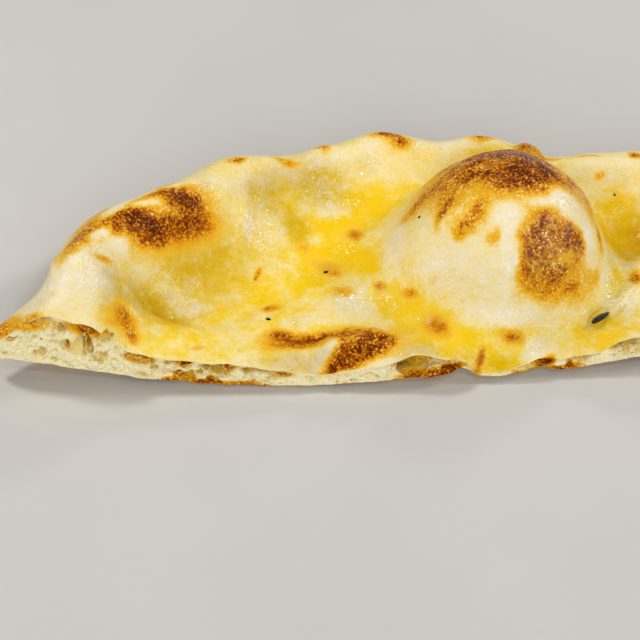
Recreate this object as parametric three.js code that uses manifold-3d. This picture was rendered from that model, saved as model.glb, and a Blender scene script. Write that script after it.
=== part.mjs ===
// Half of a small teardrop naan, cut lengthwise, lying on its flat underside.
//
// The bread is one solid: a thin sheet of dough with a puffed rim round its baked edge, a high shoulder beside
// its pointed tip, a tall round bubble, and a cut face along its front that shows torn crumb and pores.
// Nigella seeds are baked into the top and are fused to it.
//
// Units are millimetres. While the bread is shaped, s runs along the cut from the pointed tip to the round end,
// t runs back from the foremost point of the cut, and z is height above the table. The finished solid is moved
// so that its origin is the bottom centre of its box: +X is along s, +Y along t, +Z up.

import * as THREE from "three";
import { mergeVertices } from "three/addons/utils/BufferGeometryUtils.js";
import Module from "manifold-3d";

// ---------------------------------------------------------------- driving sizes

const LENGTH = 127.5; // tip to round end, along the cut
const SHEET = 4.2; // height of the dough between rim, bubble and cut

// The cut bows back from its foremost point, by rate * distance^2 towards the tip and towards the round end.
const CUT_BOW = { foremost: 43.5, tipRate: 0.00142, endRate: 0.0018 };

// Small steps in the line of the cut, where a torn flap of crust ends.
const CUT_NICKS = [
  { s: 66.9, reach: 1.3, depth: 1.5 },
  { s: 78.4, reach: 1.5, depth: 0.8 },
];
const NICK_REACH = 3.0; // how far back from the cut a nick is felt

// The baked edge in plan, as [s, t]. The cut closes it.
const BAKED_EDGE = [
  [0, 3.4], [3.6, 7.6], [7.0, 9.5], [8.4, 15.6], [11.7, 22.6], [17.5, 26.8], [24.5, 32.0], [32.0, 38.2],
  [40.0, 40.6], [47.5, 43.4], [56.0, 45.8], [64.7, 44.6], [70.7, 45.3], [78.6, 43.2], [81.0, 42.4],
  [94.4, 42.8], [105.0, 40.4], [115.0, 34.6], [123.0, 25.4], [126.9, 16.8], [LENGTH, 13.6],
];

// The rim: height of its crest above the table along s, and how far inwards it takes to fall to the sheet.
const RIM_CREST = [
  [0, 8.8], [4.4, 10.4], [7.2, 11.2], [9.2, 12.9], [12.0, 13.9], [17.5, 14.1], [23.0, 13.8], [29.0, 13.1],
  [35.0, 12.0], [41.0, 10.7], [47.0, 10.5], [56.0, 11.4], [62.0, 10.4], [70.7, 11.2], [76.6, 10.2], [79.5, 9.2],
  [88.0, 9.4], [106.0, 9.6], [117.5, 9.4], [LENGTH, 8.0],
];
const RIM_FALL = [[0, 7.0], [10, 10.5], [24, 11.0], [36, 7.5], [60, 6.5], [LENGTH, 8.0]];
const RIM_INSET = 4.6; // from the baked edge to the crest
const EDGE_SHARE = 0.42; // height of the baked edge's outermost line, as a share of the rim there
const EDGE_ROUNDING = 0.55; // how far the edge rounds over, as a share of the rim's height

// Height of the crust's top edge along the cut.
const CUT_TOP = [
  [0, 7.4], [2.3, 7.8], [5.1, 9.8], [7.9, 12.0], [10.7, 12.4], [12.7, 11.7], [16.2, 10.2], [19.7, 6.8],
  [23.2, 5.5], [30.0, 4.9], [37.0, 4.1], [41.0, 3.4], [46.5, 2.4], [51.0, 3.2], [57.5, 4.4], [60.0, 6.0],
  [64.0, 4.6], [66.5, 3.6], [68.6, 2.0], [73.0, 1.9], [77.4, 3.3], [81.3, 2.9], [86.0, 3.8], [91.3, 6.0],
  [104.0, 6.6], [116.0, 8.0], [LENGTH, 7.6],
];
const CUT_REACH = 4.4; // how far back from the cut that height is felt

// How far the underside curls up off the table: the whole of the tip and of the round end, and the lip of the cut.
const END_CURL = [[0, 2.6], [5, 2.9], [11, 2.1], [16, 1.6], [20, 1.0], [26, 0.6], [34, 0], [104, 0], [LENGTH, 2.2]];
const LIP_CURL = [
  [0, 0], [40, 0], [50, 0.4], [57, 0.9], [62, 1.7], [66.5, 2.1], [68.6, 0.9], [73, 0.8], [77.4, 1.3], [80, 0.6],
  [86, 1.2], [92, 1.5], [104, 1.4], [LENGTH, 0],
];
const LIP_REACH = 4.0;

// Swells and hollows of the top: place, reach along and across, turn in degrees, and rise.
const SWELLS = [
  { name: "shoulder", at: [22, 22], reach: [10, 6], turn: 32, rise: 1.6 },
  { name: "neck", at: [12, 10], reach: [6, 6], turn: 20, rise: 3.0 },
  { name: "basin", at: [29.5, 15.5], reach: [7, 6], turn: 10, rise: -1.7 },
  { name: "inner_bank", at: [37, 26], reach: [5, 6], turn: -15, rise: 2.0 },
  { name: "bank_dent", at: [40.5, 32], reach: [3.5, 5], turn: -35, rise: -1.6 },
  { name: "butter_channel", at: [44, 19], reach: [13, 3], turn: 38, rise: -1.2 },
  { name: "centre_swell", at: [53.5, 27], reach: [6, 4], turn: 20, rise: 0.7 },
  { name: "bubble_shoulder", at: [59.0, 24], reach: [4.5, 8], turn: -10, rise: 3.0 },
  { name: "bubble_apron", at: [69, 8.5], reach: [9.5, 4.0], turn: 4, rise: 1.5 },
  { name: "rim_dimple", at: [63.5, 37], reach: [3, 3], turn: 0, rise: -0.8 },
  { name: "bubble_moat", at: [90.5, 28], reach: [4.5, 7], turn: -12, rise: -1.8 },
  { name: "end_swell", at: [102.5, 20], reach: [8, 7], turn: 30, rise: 2.2 },
  { name: "end_hollow", at: [112.5, 20], reach: [4, 6], turn: -25, rise: -1.2 },
];

// Folds close to the cut, in the same terms.
const LIP_FOLDS = [
  { name: "basin_lip", at: [29.5, 6.4], reach: [8, 2.6], turn: 6, rise: 0.9 },
  { name: "blister", at: [52.0, 3.7], reach: [6.4, 2.2], turn: 6, rise: 2.6 },
  { name: "blister_crease", at: [43.0, 5.2], reach: [5.0, 1.1], turn: -6, rise: -0.9 },
  { name: "crease_lip", at: [43.5, 2.6], reach: [4.5, 1.6], turn: -4, rise: 0.7 },
  { name: "flap_roll", at: [72.0, 4.6], reach: [5.5, 2.0], turn: 4, rise: 0.9 },
  { name: "fold_by_seed", at: [91.0, 12.5], reach: [7, 2.2], turn: 38, rise: 1.4 },
];

// The crease where the shoulder's wall meets the floor: part of an ellipse, between two bearings in degrees.
const WALL_CREASE = { at: [29.0, 16.2], reach: [9.4, 7.8], turn: 10, width: 1.2, depth: 1.0, from: -170, to: -5 };

// The tall bubble: a dome with a soft skirt, which stands on the sheet. Its plan is slightly lobed.
const BUBBLE = {
  at: [72.2, 22.4],
  radius: 15.4,
  height: 15.0,
  reach: 20.0,
  lean: [0.1, 0.03], // how far the crown leans along s and t, for each millimetre of height
  flank: THREE.MathUtils.degToRad(67), // where the dome turns into its skirt
  blend: 1.6, // height over which it runs into the dough around it
  lobes: [
    { count: 1, size: 0.05, turn: 1.6 },
    { count: 2, size: 0.03, turn: 0.4 },
    { count: 3, size: 0.035, turn: 2.1 },
    { count: 5, size: 0.02, turn: 0.7 },
  ],
};

// Swells of the bubble's own skin: bearing in degrees, share of the way from crown to foot, reach and rise.
const BUBBLE_SWELLS = [
  { name: "crown_flat", bearing: 0, share: 0.05, reach: 0.25, rise: -0.5 },
  { name: "front_ridge", bearing: -92, share: 0.42, reach: 0.2, rise: 0.6 },
  { name: "right_flat", bearing: -45, share: 0.42, reach: 0.24, rise: -0.7 },
  { name: "right_brow", bearing: 10, share: 0.38, reach: 0.2, rise: 0.5 },
  { name: "left_cheek", bearing: -150, share: 0.5, reach: 0.26, rise: 0.8 },
  { name: "left_dent", bearing: 168, share: 0.36, reach: 0.2, rise: -0.6 },
  { name: "back_swell", bearing: 100, share: 0.5, reach: 0.3, rise: 0.5 },
  { name: "foot_pinch", bearing: -68, share: 0.66, reach: 0.14, rise: -0.6 },
];

// Torn pores of the cut face: place along the cut, height, reach along and up, and depth.
const PORES = [
  { name: "tip_slit", s: 8.6, z: 11.0, reach: [1.0, 0.7], depth: 1.2 },
  { name: "upper_slit", s: 11.1, z: 9.8, reach: [1.4, 0.8], depth: 1.5 },
  { name: "skin_cave", s: 14.7, z: 9.6, reach: [2.6, 1.1], depth: 2.6 },
  { name: "tall_cave", s: 13.7, z: 6.2, reach: [1.2, 1.8], depth: 2.8 },
  { name: "low_pore", s: 16.4, z: 3.8, reach: [0.7, 0.7], depth: 0.9 },
  { name: "wide_cave", s: 21.5, z: 4.5, reach: [1.9, 0.9], depth: 2.2 },
  { name: "charred_pore", s: 28.0, z: 3.9, reach: [1.0, 0.7], depth: 1.8 },
  { name: "lower_pore", s: 27.3, z: 1.8, reach: [0.9, 0.6], depth: 1.2 },
  { name: "round_pore", s: 33.7, z: 3.3, reach: [0.9, 0.9], depth: 2.0 },
  { name: "slot", s: 36.6, z: 3.0, reach: [1.8, 0.5], depth: 1.2 },
  { name: "eye", s: 41.7, z: 1.8, reach: [1.1, 0.8], depth: 1.6 },
  { name: "blown_cave", s: 61.0, z: 4.0, reach: [3.4, 1.3], depth: 3.0 },
  { name: "shallow_pore", s: 83.0, z: 2.4, reach: [1.8, 0.7], depth: 1.2 },
  { name: "long_slot", s: 89.9, z: 4.2, reach: [3.0, 0.9], depth: 2.0 },
  { name: "end_pore", s: 103.0, z: 4.0, reach: [2.2, 1.2], depth: 2.2 },
  { name: "end_cave", s: 112.5, z: 5.0, reach: [2.6, 1.6], depth: 2.6 },
];

// Nigella seeds, half sunk in the top: place, turn in degrees, and length.
const SEED = { slimness: 0.5, sunk: 0.35, sides: 7, rings: 5 };
const SEEDS = [
  { at: [86.1, 9.0], turn: 42, length: 3.5 },
  { at: [105.0, 28.5], turn: -48, length: 3.2 },
  { at: [115.5, 24.0], turn: 12, length: 3.4 },
];

// Gentle unevenness of the dough: waves across the top, as heading in degrees, wavelength and height.
const DOUGH_WAVES = [
  { heading: 17, length: 13.1, height: 0.2 },
  { heading: 71, length: 9.7, height: 0.16 },
  { heading: 128, length: 7.3, height: 0.13 },
  { heading: 44, length: 5.3, height: 0.08 },
];

// How the surface is divided.
const STATIONS = 110; // cross-sections from tip to round end
const CUT_STEPS = 8; // up the cut face
const TOP_STEPS = 30; // from the cut over the top to the baked edge
const UNDER_STEPS = 10; // back underneath to the cut
const STATION_CROWDING = 0.3; // how much closer the cross-sections stand towards the two ends
const EDGE_CROWDING = 0.45; // how much closer a ring's points stand towards the cut and the baked edge
const OUTLINE_SAMPLES = 220;

// ---------------------------------------------------------------- small helpers

const clamp01 = (x) => Math.min(1, Math.max(0, x));
const bell = (x) => Math.exp(-x * x);
const mix = (a, b, w) => a + (b - a) * w;

// Smooth value of a profile, a list of [place, value], at a place.
function valueAt(profile, place) {
  const last = profile.length - 1;
  const after = profile.findIndex((knot) => knot[0] > place);
  const i = after < 0 ? last - 1 : Math.max(0, after - 1);
  const [k0, k1, k2, k3] = [-1, 0, 1, 2].map((step) => profile[Math.max(0, Math.min(last, i + step))]);
  const span = k2[0] - k1[0];
  const slope1 = ((k2[1] - k0[1]) / (k2[0] - k0[0])) * span;
  const slope2 = ((k3[1] - k1[1]) / (k3[0] - k1[0])) * span;
  const u = clamp01((place - k1[0]) / span);
  const u2 = u * u;
  const u3 = u2 * u;
  return k1[1] * (2 * u3 - 3 * u2 + 1) + slope1 * (u3 - 2 * u2 + u) + k2[1] * (3 * u2 - 2 * u3) + slope2 * (u3 - u2);
}

// Evenly spaced shares, drawn closer together towards both ends.
const crowded = (share, crowding) => mix(share, (1 - Math.cos(Math.PI * share)) / 2, crowding);

// Where a place lies in an ellipse that is turned in plan, in units of its two reaches.
function inEllipse({ at, reach, turn }, s, t) {
  const angle = THREE.MathUtils.degToRad(turn);
  const ds = s - at[0];
  const dt = t - at[1];
  const along = ds * Math.cos(angle) + dt * Math.sin(angle);
  const across = dt * Math.cos(angle) - ds * Math.sin(angle);
  return [along / reach[0], across / reach[1]];
}

// Summed height of rounded humps and hollows.
function swellsAt(swells, s, t) {
  let height = 0;
  for (const swell of swells) height += swell.rise * bell(Math.hypot(...inEllipse(swell, s, t)));
  return height;
}

function doughWavesAt(s, t) {
  let height = 0;
  for (const wave of DOUGH_WAVES) {
    const heading = THREE.MathUtils.degToRad(wave.heading);
    const run = s * Math.cos(heading) + t * Math.sin(heading);
    height += wave.height * Math.sin((2 * Math.PI * run) / wave.length);
  }
  return height;
}

// ---------------------------------------------------------------- plan

const bakedEdge = new THREE.CatmullRomCurve3(BAKED_EDGE.map(([s, t]) => new THREE.Vector3(s, t, 0)));
const edgePoints = bakedEdge.getSpacedPoints(OUTLINE_SAMPLES);

// Depth of the cut at a station, before it is nicked.
function cutAt(s) {
  const off = s - CUT_BOW.foremost;
  return (off < 0 ? CUT_BOW.tipRate : CUT_BOW.endRate) * off * off;
}

// How far a place is drawn back by the nicks in the cut.
function nickAt(s, t) {
  let back = 0;
  for (const nick of CUT_NICKS) back += nick.depth * bell((s - nick.s) / nick.reach);
  return back * bell((t - cutAt(s)) / NICK_REACH);
}

// Depth of the baked edge at a station, read off the sampled curve.
function edgeAt(s) {
  const i = Math.max(1, edgePoints.findIndex((point) => point.x >= s));
  const [before, after] = [edgePoints[i - 1], edgePoints[i]];
  return mix(before.y, after.y, clamp01((s - before.x) / Math.max(1e-9, after.x - before.x)));
}

function distanceToEdge(s, t) {
  let nearest = Infinity;
  for (let i = 1; i < edgePoints.length; i++) {
    const [a, b] = [edgePoints[i - 1], edgePoints[i]];
    const run = (s - a.x) * (b.x - a.x) + (t - a.y) * (b.y - a.y);
    const along = clamp01(run / a.distanceToSquared(b));
    nearest = Math.min(nearest, Math.hypot(mix(a.x, b.x, along) - s, mix(a.y, b.y, along) - t));
  }
  return nearest;
}

// ---------------------------------------------------------------- heights

function undersideAt(s, t) {
  const lip = valueAt(LIP_CURL, s) * bell((t - cutAt(s)) / LIP_REACH);
  return Math.max(0, valueAt(END_CURL, s)) + Math.max(0, lip);
}

function wallCreaseAt(s, t) {
  const { reach, width, depth, from, to } = WALL_CREASE;
  const [u, v] = inEllipse(WALL_CREASE, s, t);
  const bearing = THREE.MathUtils.radToDeg(Math.atan2(v, u));
  const along = clamp01((bearing - from) / (to - from));
  const off = (Math.hypot(u, v) - 1) * Math.min(...reach);
  return -depth * Math.sin(Math.PI * along) * bell(off / width);
}

// Height of the top before its baked edge is rounded over and before the bubble is blown.
function loafTopAt(s, t, inset) {
  const fall = Math.max(0, inset - RIM_INSET) / valueAt(RIM_FALL, s);
  const sheet = SHEET + doughWavesAt(s, t);
  const swelled = mix(sheet, valueAt(RIM_CREST, s), bell(fall)) + swellsAt(SWELLS, s, t);
  const nearCut = bell((t - cutAt(s)) / CUT_REACH);
  return mix(swelled, valueAt(CUT_TOP, s), nearCut) + swellsAt(LIP_FOLDS, s, t) + wallCreaseAt(s, t);
}

// Top and underside heights once the baked edge is rounded over.
function heightsAt(s, t) {
  const inset = distanceToEdge(s, t);
  const under = undersideAt(s, t);
  const top = Math.max(under + 1.0, loafTopAt(s, t, inset));
  const rounding = EDGE_ROUNDING * valueAt(RIM_CREST, s);
  const open = Math.sqrt(1 - (1 - clamp01(inset / rounding)) ** 2);
  const edge = under + EDGE_SHARE * (top - under);
  return { top: mix(edge, top, open), under: mix(edge, under, open) };
}

// ---------------------------------------------------------------- bubble

// The bubble's profile from its crown outwards, as points of (radius, height).
function bubbleProfile() {
  const { radius, height, reach, flank } = BUBBLE;
  const steps = 14;
  const points = [];
  for (let i = 0; i <= steps; i++) {
    const angle = (flank * i) / steps;
    points.push(new THREE.Vector2(radius * Math.sin(angle), height * Math.cos(angle)));
  }
  const foot = points[points.length - 1];
  const fall = foot.y / ((height / radius) * Math.tan(flank));
  for (let i = 1; i <= steps; i++) {
    const out = ((reach - foot.x) * i) / steps;
    points.push(new THREE.Vector2(foot.x + out, foot.y * Math.exp(-out / fall)));
  }
  return new THREE.SplineCurve(points);
}

const bubbleCurve = bubbleProfile();

// How far the bubble's skin stands out at a share of the way from crown to foot, on a bearing in radians.
function bubbleSwellAt(share, bearing) {
  let out = 0;
  for (const swell of BUBBLE_SWELLS) {
    const turn = bearing - THREE.MathUtils.degToRad(swell.bearing);
    const off = Math.sqrt(share ** 2 + swell.share ** 2 - 2 * share * swell.share * Math.cos(turn));
    out += swell.rise * bell(off / swell.reach);
  }
  return out;
}

// The top's point for a place in plan. Within the bubble's reach it moves outwards along the bubble's profile,
// so that the net stays even, and up onto the bubble.
function topPoint(s, t) {
  const ds = s - BUBBLE.at[0];
  const dt = t - BUBBLE.at[1];
  const distance = Math.max(1e-6, Math.hypot(ds, dt));
  if (distance >= BUBBLE.reach) return new THREE.Vector3(s, t, heightsAt(s, t).top);
  const share = distance / BUBBLE.reach;
  const onProfile = bubbleCurve.getPointAt(share);
  const bearing = Math.atan2(dt, ds);
  const inside = 1 - share ** 6;
  let puff = 1 + bubbleSwellAt(share, bearing) / BUBBLE.radius;
  for (const { count, size, turn } of BUBBLE.lobes) puff += share * size * Math.cos(count * bearing + turn);
  const stretch = (onProfile.x * mix(1, puff, inside)) / distance;
  const height = onProfile.y * puff;
  const point = new THREE.Vector3(BUBBLE.at[0] + stretch * ds, BUBBLE.at[1] + stretch * dt);
  point.x += BUBBLE.lean[0] * height * inside;
  point.y += BUBBLE.lean[1] * height * inside;
  const loaf = heightsAt(point.x, point.y).top;
  const above = SHEET + height - loaf;
  point.z = loaf + (inside * (above + Math.hypot(above, BUBBLE.blend))) / 2;
  return point;
}

// ---------------------------------------------------------------- cut face

// How deep the torn crumb lies behind the line of the cut.
function crumbDepthAt(s, z) {
  const depths = PORES.map((pore) => {
    const off = Math.hypot((s - pore.s) / pore.reach[0], (z - pore.z) / pore.reach[1]);
    return pore.depth * bell(off);
  });
  return Math.max(...depths);
}

// ---------------------------------------------------------------- the bread

// A point of one cross-section's ring: up the cut face, over the top to the baked edge, and back underneath.
function ringPoint(s, step) {
  const front = cutAt(s);
  const back = Math.max(front, edgeAt(s));
  if (step <= CUT_STEPS) {
    const { top, under } = heightsAt(s, front);
    const z = mix(under, top, step / CUT_STEPS);
    const inside = step > 0 && step < CUT_STEPS;
    const depth = inside ? Math.min(crumbDepthAt(s, z), (back - front) / 2) : 0;
    return new THREE.Vector3(s, front + depth, z);
  }
  const fromBack = CUT_STEPS + TOP_STEPS - step;
  const share = fromBack >= 0 ? fromBack / TOP_STEPS : -fromBack / UNDER_STEPS;
  const t = mix(back, front, crowded(share, EDGE_CROWDING));
  return fromBack >= 0 ? topPoint(s, t) : new THREE.Vector3(s, t, heightsAt(s, t).under);
}

// The pole at an end of the bread, on its baked edge.
const poleAt = ([s, t]) => new THREE.Vector3(s, t, heightsAt(s, t).top);

// A sphere with its poles at the tip and the round end, whose rings are pulled onto the cross-sections.
function breadGeometry() {
  const around = CUT_STEPS + TOP_STEPS + UNDER_STEPS;
  const geometry = new THREE.SphereGeometry(LENGTH / 2, around, STATIONS);
  const position = geometry.getAttribute("position");
  const tip = poleAt(BAKED_EDGE[0]);
  const end = poleAt(BAKED_EDGE[BAKED_EDGE.length - 1]);
  for (let row = 0; row <= STATIONS; row++) {
    const s = LENGTH * crowded(row / STATIONS, STATION_CROWDING);
    for (let column = 0; column <= around; column++) {
      let point = row === 0 ? tip : end;
      if (row > 0 && row < STATIONS) point = ringPoint(s, column % around);
      position.setXYZ(row * (around + 1) + column, point.x, point.y + nickAt(s, point.y), point.z);
    }
  }
  return geometry;
}

// ---------------------------------------------------------------- seeds

// One seed: a slim faceted drop lying on the top.
function seedGeometry({ at, turn, length }) {
  const [s, t] = at;
  const half = (length / 2) * SEED.slimness;
  const geometry = new THREE.SphereGeometry(length / 2, SEED.sides, SEED.rings);
  geometry.rotateZ(Math.PI / 2);
  geometry.scale(1, SEED.slimness, SEED.slimness);
  geometry.rotateZ(THREE.MathUtils.degToRad(turn));
  geometry.translate(s, t, heightsAt(s, t).top + half * (1 - 2 * SEED.sunk));
  return geometry;
}

// ---------------------------------------------------------------- joining

const wasm = await Module();
wasm.setup();

function solidOf(geometry) {
  const bare = geometry.clone();
  bare.deleteAttribute("normal");
  bare.deleteAttribute("uv");
  const merged = mergeVertices(bare, 1e-4);
  return new wasm.Manifold(
    new wasm.Mesh({
      numProp: 3,
      vertProperties: new Float32Array(merged.getAttribute("position").array),
      triVerts: new Uint32Array(merged.index.array),
    }),
  );
}

function geometryOf(solid) {
  const { vertProperties, triVerts } = solid.getMesh();
  const geometry = new THREE.BufferGeometry();
  geometry.setAttribute("position", new THREE.BufferAttribute(new Float32Array(vertProperties), 3));
  geometry.setIndex(new THREE.BufferAttribute(new Uint32Array(triVerts), 1));
  return geometry;
}

function naanMesh() {
  let solid = solidOf(breadGeometry());
  for (const seed of SEEDS) solid = solid.add(solidOf(seedGeometry(seed)));
  const geometry = geometryOf(solid);
  geometry.computeBoundingBox();
  const { min, max } = geometry.boundingBox;
  geometry.translate(-(min.x + max.x) / 2, -(min.y + max.y) / 2, -min.z);
  geometry.computeVertexNormals();
  const crust = new THREE.MeshStandardMaterial({ color: 0xe9cf86, roughness: 0.55, metalness: 0 });
  const mesh = new THREE.Mesh(geometry, crust);
  mesh.name = "naan";
  return mesh;
}

const naan = new THREE.Group();
naan.add(naanMesh());

export default naan;
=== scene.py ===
"""Half of a small naan, cut lengthwise: the baked bread and its nigella seeds, dressed round their solid.

The frame's solid is copied, refined and sculpted in its own millimetres: s runs along the cut from the
pointed tip, t runs back from the foremost point of the cut, and z is the height above the table. Crust,
melted butter and toast are then painted as attributes, with some painted shade and painted highlight among
them, which one finish turns into colour, gloss and grain.
"""

import itertools
import logging
import math
from collections.abc import Callable
from dataclasses import dataclass, field
from enum import Enum
from functools import partial

import bpy
import numpy as np
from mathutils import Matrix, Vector
from mathutils.bvhtree import BVHTree


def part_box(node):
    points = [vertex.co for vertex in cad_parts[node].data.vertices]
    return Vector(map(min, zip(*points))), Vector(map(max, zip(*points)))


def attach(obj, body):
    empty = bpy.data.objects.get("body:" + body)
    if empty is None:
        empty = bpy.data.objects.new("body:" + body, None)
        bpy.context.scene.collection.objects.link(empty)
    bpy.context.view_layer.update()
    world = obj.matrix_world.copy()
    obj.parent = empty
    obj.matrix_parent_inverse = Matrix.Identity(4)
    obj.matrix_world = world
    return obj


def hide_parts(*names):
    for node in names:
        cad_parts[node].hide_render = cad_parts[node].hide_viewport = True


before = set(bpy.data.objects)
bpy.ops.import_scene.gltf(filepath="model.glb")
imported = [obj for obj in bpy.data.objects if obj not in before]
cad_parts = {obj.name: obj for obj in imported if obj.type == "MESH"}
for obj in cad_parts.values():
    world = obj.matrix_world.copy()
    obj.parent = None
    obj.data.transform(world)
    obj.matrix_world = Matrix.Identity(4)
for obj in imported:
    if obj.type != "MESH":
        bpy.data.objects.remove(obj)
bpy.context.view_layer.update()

MM = 0.001
NODE = "naan"
BODY = "root"
LOG = logging.getLogger("naan")

Place = tuple[float, float, float]  # s, t and z in millimetres, or a direction
Colour = tuple[float, float, float]  # linear red, green and blue
Array = np.ndarray
Piece = bpy.types.Object
Mesh = bpy.types.Mesh
Material = bpy.types.Material
Socket = bpy.types.NodeSocket


# ---------------------------------------------------------------- numbers


def ramp(values: Array, low: float, high: float) -> Array:
    """Smooth step from 0 at low to 1 at high."""
    share = np.clip((values - low) / (high - low), 0.0, 1.0)
    return share * share * (3.0 - 2.0 * share)


def bell(values: Array) -> Array:
    """Rounded hump of height 1 at 0, nearly 0 past 2."""
    return np.exp(-values * values)


def unit(vectors: Array) -> Array:
    """Vectors brought to length 1 along their last axis."""
    return vectors / np.maximum(np.linalg.norm(vectors, axis=-1, keepdims=True), 1e-12)


CELL_PRIMES = (73856093, 19349663, 83492791)  # keep the draws of neighbouring cells apart
SEED_PRIME = 2654435761
CHANNEL_PRIME = 97531
MIXING = ((15, 2246822519), (13, 3266489917))  # shift and factor of each round
WORD = 0xFFFFFFFF  # a draw is mixed in 32 bits
KEPT = 0xFFFFFF  # and 24 of them are kept
LAYER_SHIFT = 7.31  # millimetres between the layers of a noise, so that they don't line up
LAYER_SUM = 1.4  # brings the layers' sum back to about -1 to 1


@dataclass(frozen=True)
class Grain:
    """Seeded noise over places in millimetres, the same on every run."""

    seed: int

    def _draw(self, cells: Array, channel: int = 0) -> Array:
        """An even draw from 0 to 1 for each cell of a lattice.

        Args:
            cells: whole-number cells, three columns.
            channel: picks one of several independent draws.

        Returns:
            One value for each cell.
        """
        first, second, third = (cells[:, axis] * prime for axis, prime in enumerate(CELL_PRIMES))
        mixed = (first ^ second ^ third ^ (self.seed * SEED_PRIME + channel * CHANNEL_PRIME)) & WORD
        for shift, factor in MIXING:
            mixed = ((mixed ^ (mixed >> shift)) * factor) & WORD
        return ((mixed ^ (mixed >> 16)) & KEPT) / float(KEPT)

    def even(self, places: Array, length: float) -> Array:
        """Soft noise from -1 to 1.

        Args:
            places: points, in millimetres.
            length: distance over which the noise changes.

        Returns:
            One value for each place.
        """
        scaled = places / length
        cell = np.floor(scaled).astype(np.int64)
        share = scaled - cell
        blend = share * share * (3.0 - 2.0 * share)
        total = np.zeros(len(places))
        for corner in itertools.product((0, 1), repeat=3):
            side = np.array(corner)
            weight = np.prod(np.where(side == 1, blend, 1.0 - blend), axis=1)
            total += weight * self._draw(cell + side)
        return 2.0 * total - 1.0

    def layered(self, places: Array, length: float, layers: int = 3) -> Array:
        """Noise of several lengths, each half as long and half as strong as the one before.

        Args:
            places: points, in millimetres.
            length: the longest length.
            layers: how many lengths are summed.

        Returns:
            One value for each place, mostly within -1 to 1.
        """
        total = np.zeros(len(places))
        for layer in range(layers):
            total += self.even(places + LAYER_SHIFT * layer, length / 2**layer) / 2**layer
        return total / LAYER_SUM

    def blisters(self, places: Array, length: float) -> tuple[Array, Array]:
        """Scattered round cells.

        Args:
            places: points, in millimetres.
            length: mean distance between neighbouring cells.

        Returns:
            Distance to the nearest cell's centre, in lengths, and that cell's own draw from 0 to 1.
        """
        scaled = places / length
        home = np.floor(scaled).astype(np.int64)
        nearest = np.full(len(places), 9.0)
        lot = np.zeros(len(places))
        for step in itertools.product((-1, 0, 1), repeat=3):
            cell = home + np.array(step)
            centre = cell + np.stack([self._draw(cell, channel) for channel in (1, 2, 3)], axis=1)
            distance = np.linalg.norm(scaled - centre, axis=1)
            closer = distance < nearest
            lot = np.where(closer, self._draw(cell, 9), lot)
            nearest = np.minimum(nearest, distance)
        return nearest, lot


# ---------------------------------------------------------------- marks and folds on the skin


@dataclass(frozen=True)
class Skin:
    """The bare surface that marks and folds are laid out on: places and normals, in millimetres."""

    places: Array
    normals: Array

    def normal_at(self, at: Place, reach: float = 0.9) -> Array:
        """Mean outward normal round the surface point nearest to a place.

        Args:
            at: the place, as s, t and z.
            reach: how far round the nearest point is averaged.

        Returns:
            A vector of length 1.
        """
        away = np.linalg.norm(self.places - np.array(at), axis=1)
        nearest = self.places[np.argmin(away)]
        close = np.linalg.norm(self.places - nearest, axis=1) < reach
        return unit(self.normals[close].mean(axis=0))

    def tangents_at(self, at: Place) -> tuple[Array, Array, Array]:
        """Directions on the surface at a place.

        Args:
            at: the place, as s, t and z.

        Returns:
            The directions along s, up the slope, and outwards.
        """
        outward = self.normal_at(at)
        along = unit(np.array([1.0, 0.0, 0.0]) - outward[0] * outward)
        return along, np.cross(outward, along), outward


DEPTH_SHARE = 0.6  # how deep a mark goes into the dough, as a share of its longer reach
LEAST_DEPTH = 1.2  # and in millimetres besides
HALO_SPREAD = 2.2  # how much wider a mark's faint rim spreads


@dataclass(frozen=True)
class Mark:
    """A patch on the skin: an ellipse laid on the surface.

    It has a place, reaches along and across in millimetres of skin, a turn in degrees, its strength in the
    middle, and the crispness of its edge, where 1 fades softly and 3 ends sharply.
    """

    name: str
    at: Place
    reach: tuple[float, float]
    turn: float = 0.0
    level: float = 0.5
    crisp: float = 1.2

    def weight(self, places: Array, skin: Skin, halo: float = 0.0) -> Array:
        """How strongly the mark is felt at each place.

        Args:
            places: points, in millimetres.
            skin: the surface that the mark lies on.
            halo: strength of a faint, wide rim round it, as a share of its level.

        Returns:
            One value for each place, from 0 to the mark's level.
        """
        along, across, outward = skin.tangents_at(self.at)
        turn = math.radians(self.turn)
        first = math.cos(turn) * along + math.sin(turn) * across
        second = math.cos(turn) * across - math.sin(turn) * along
        away = places - np.array(self.at)
        depth = DEPTH_SHARE * max(self.reach) + LEAST_DEPTH
        square = (away @ first / self.reach[0]) ** 2 + (away @ second / self.reach[1]) ** 2
        square += (away @ outward / depth) ** 2
        return self.level * np.maximum(np.exp(-(square**self.crisp)), halo * np.exp(-square / HALO_SPREAD))


def overlaid(marks: tuple[Mark, ...], places: Array, skin: Skin, halo: float = 0.0) -> Array:
    """Marks laid over one another.

    Args:
        marks: the marks, in any order.
        places: points, in millimetres.
        skin: the surface that the marks lie on.
        halo: strength of the faint rim round each.

    Returns:
        One value for each place, from 0 where there is no mark to nearly 1 where strong ones meet.
    """
    clear = np.ones(len(places))
    for mark in marks:
        clear *= 1.0 - mark.weight(places, skin, halo)
    return 1.0 - clear


class FoldKind(Enum):
    """What a line in the skin does to it."""

    GROOVE = "groove"
    STEP = "step"
    RIDGE = "ridge"


BANK_HEIGHT = 0.3  # the banks beside a groove, as a share of its depth
BANK_OFFSET = 1.9  # and how far off they stand, in widths
SUNK_SHARE = 0.45  # how far a step drops on its right, as a share of its rise


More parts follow.
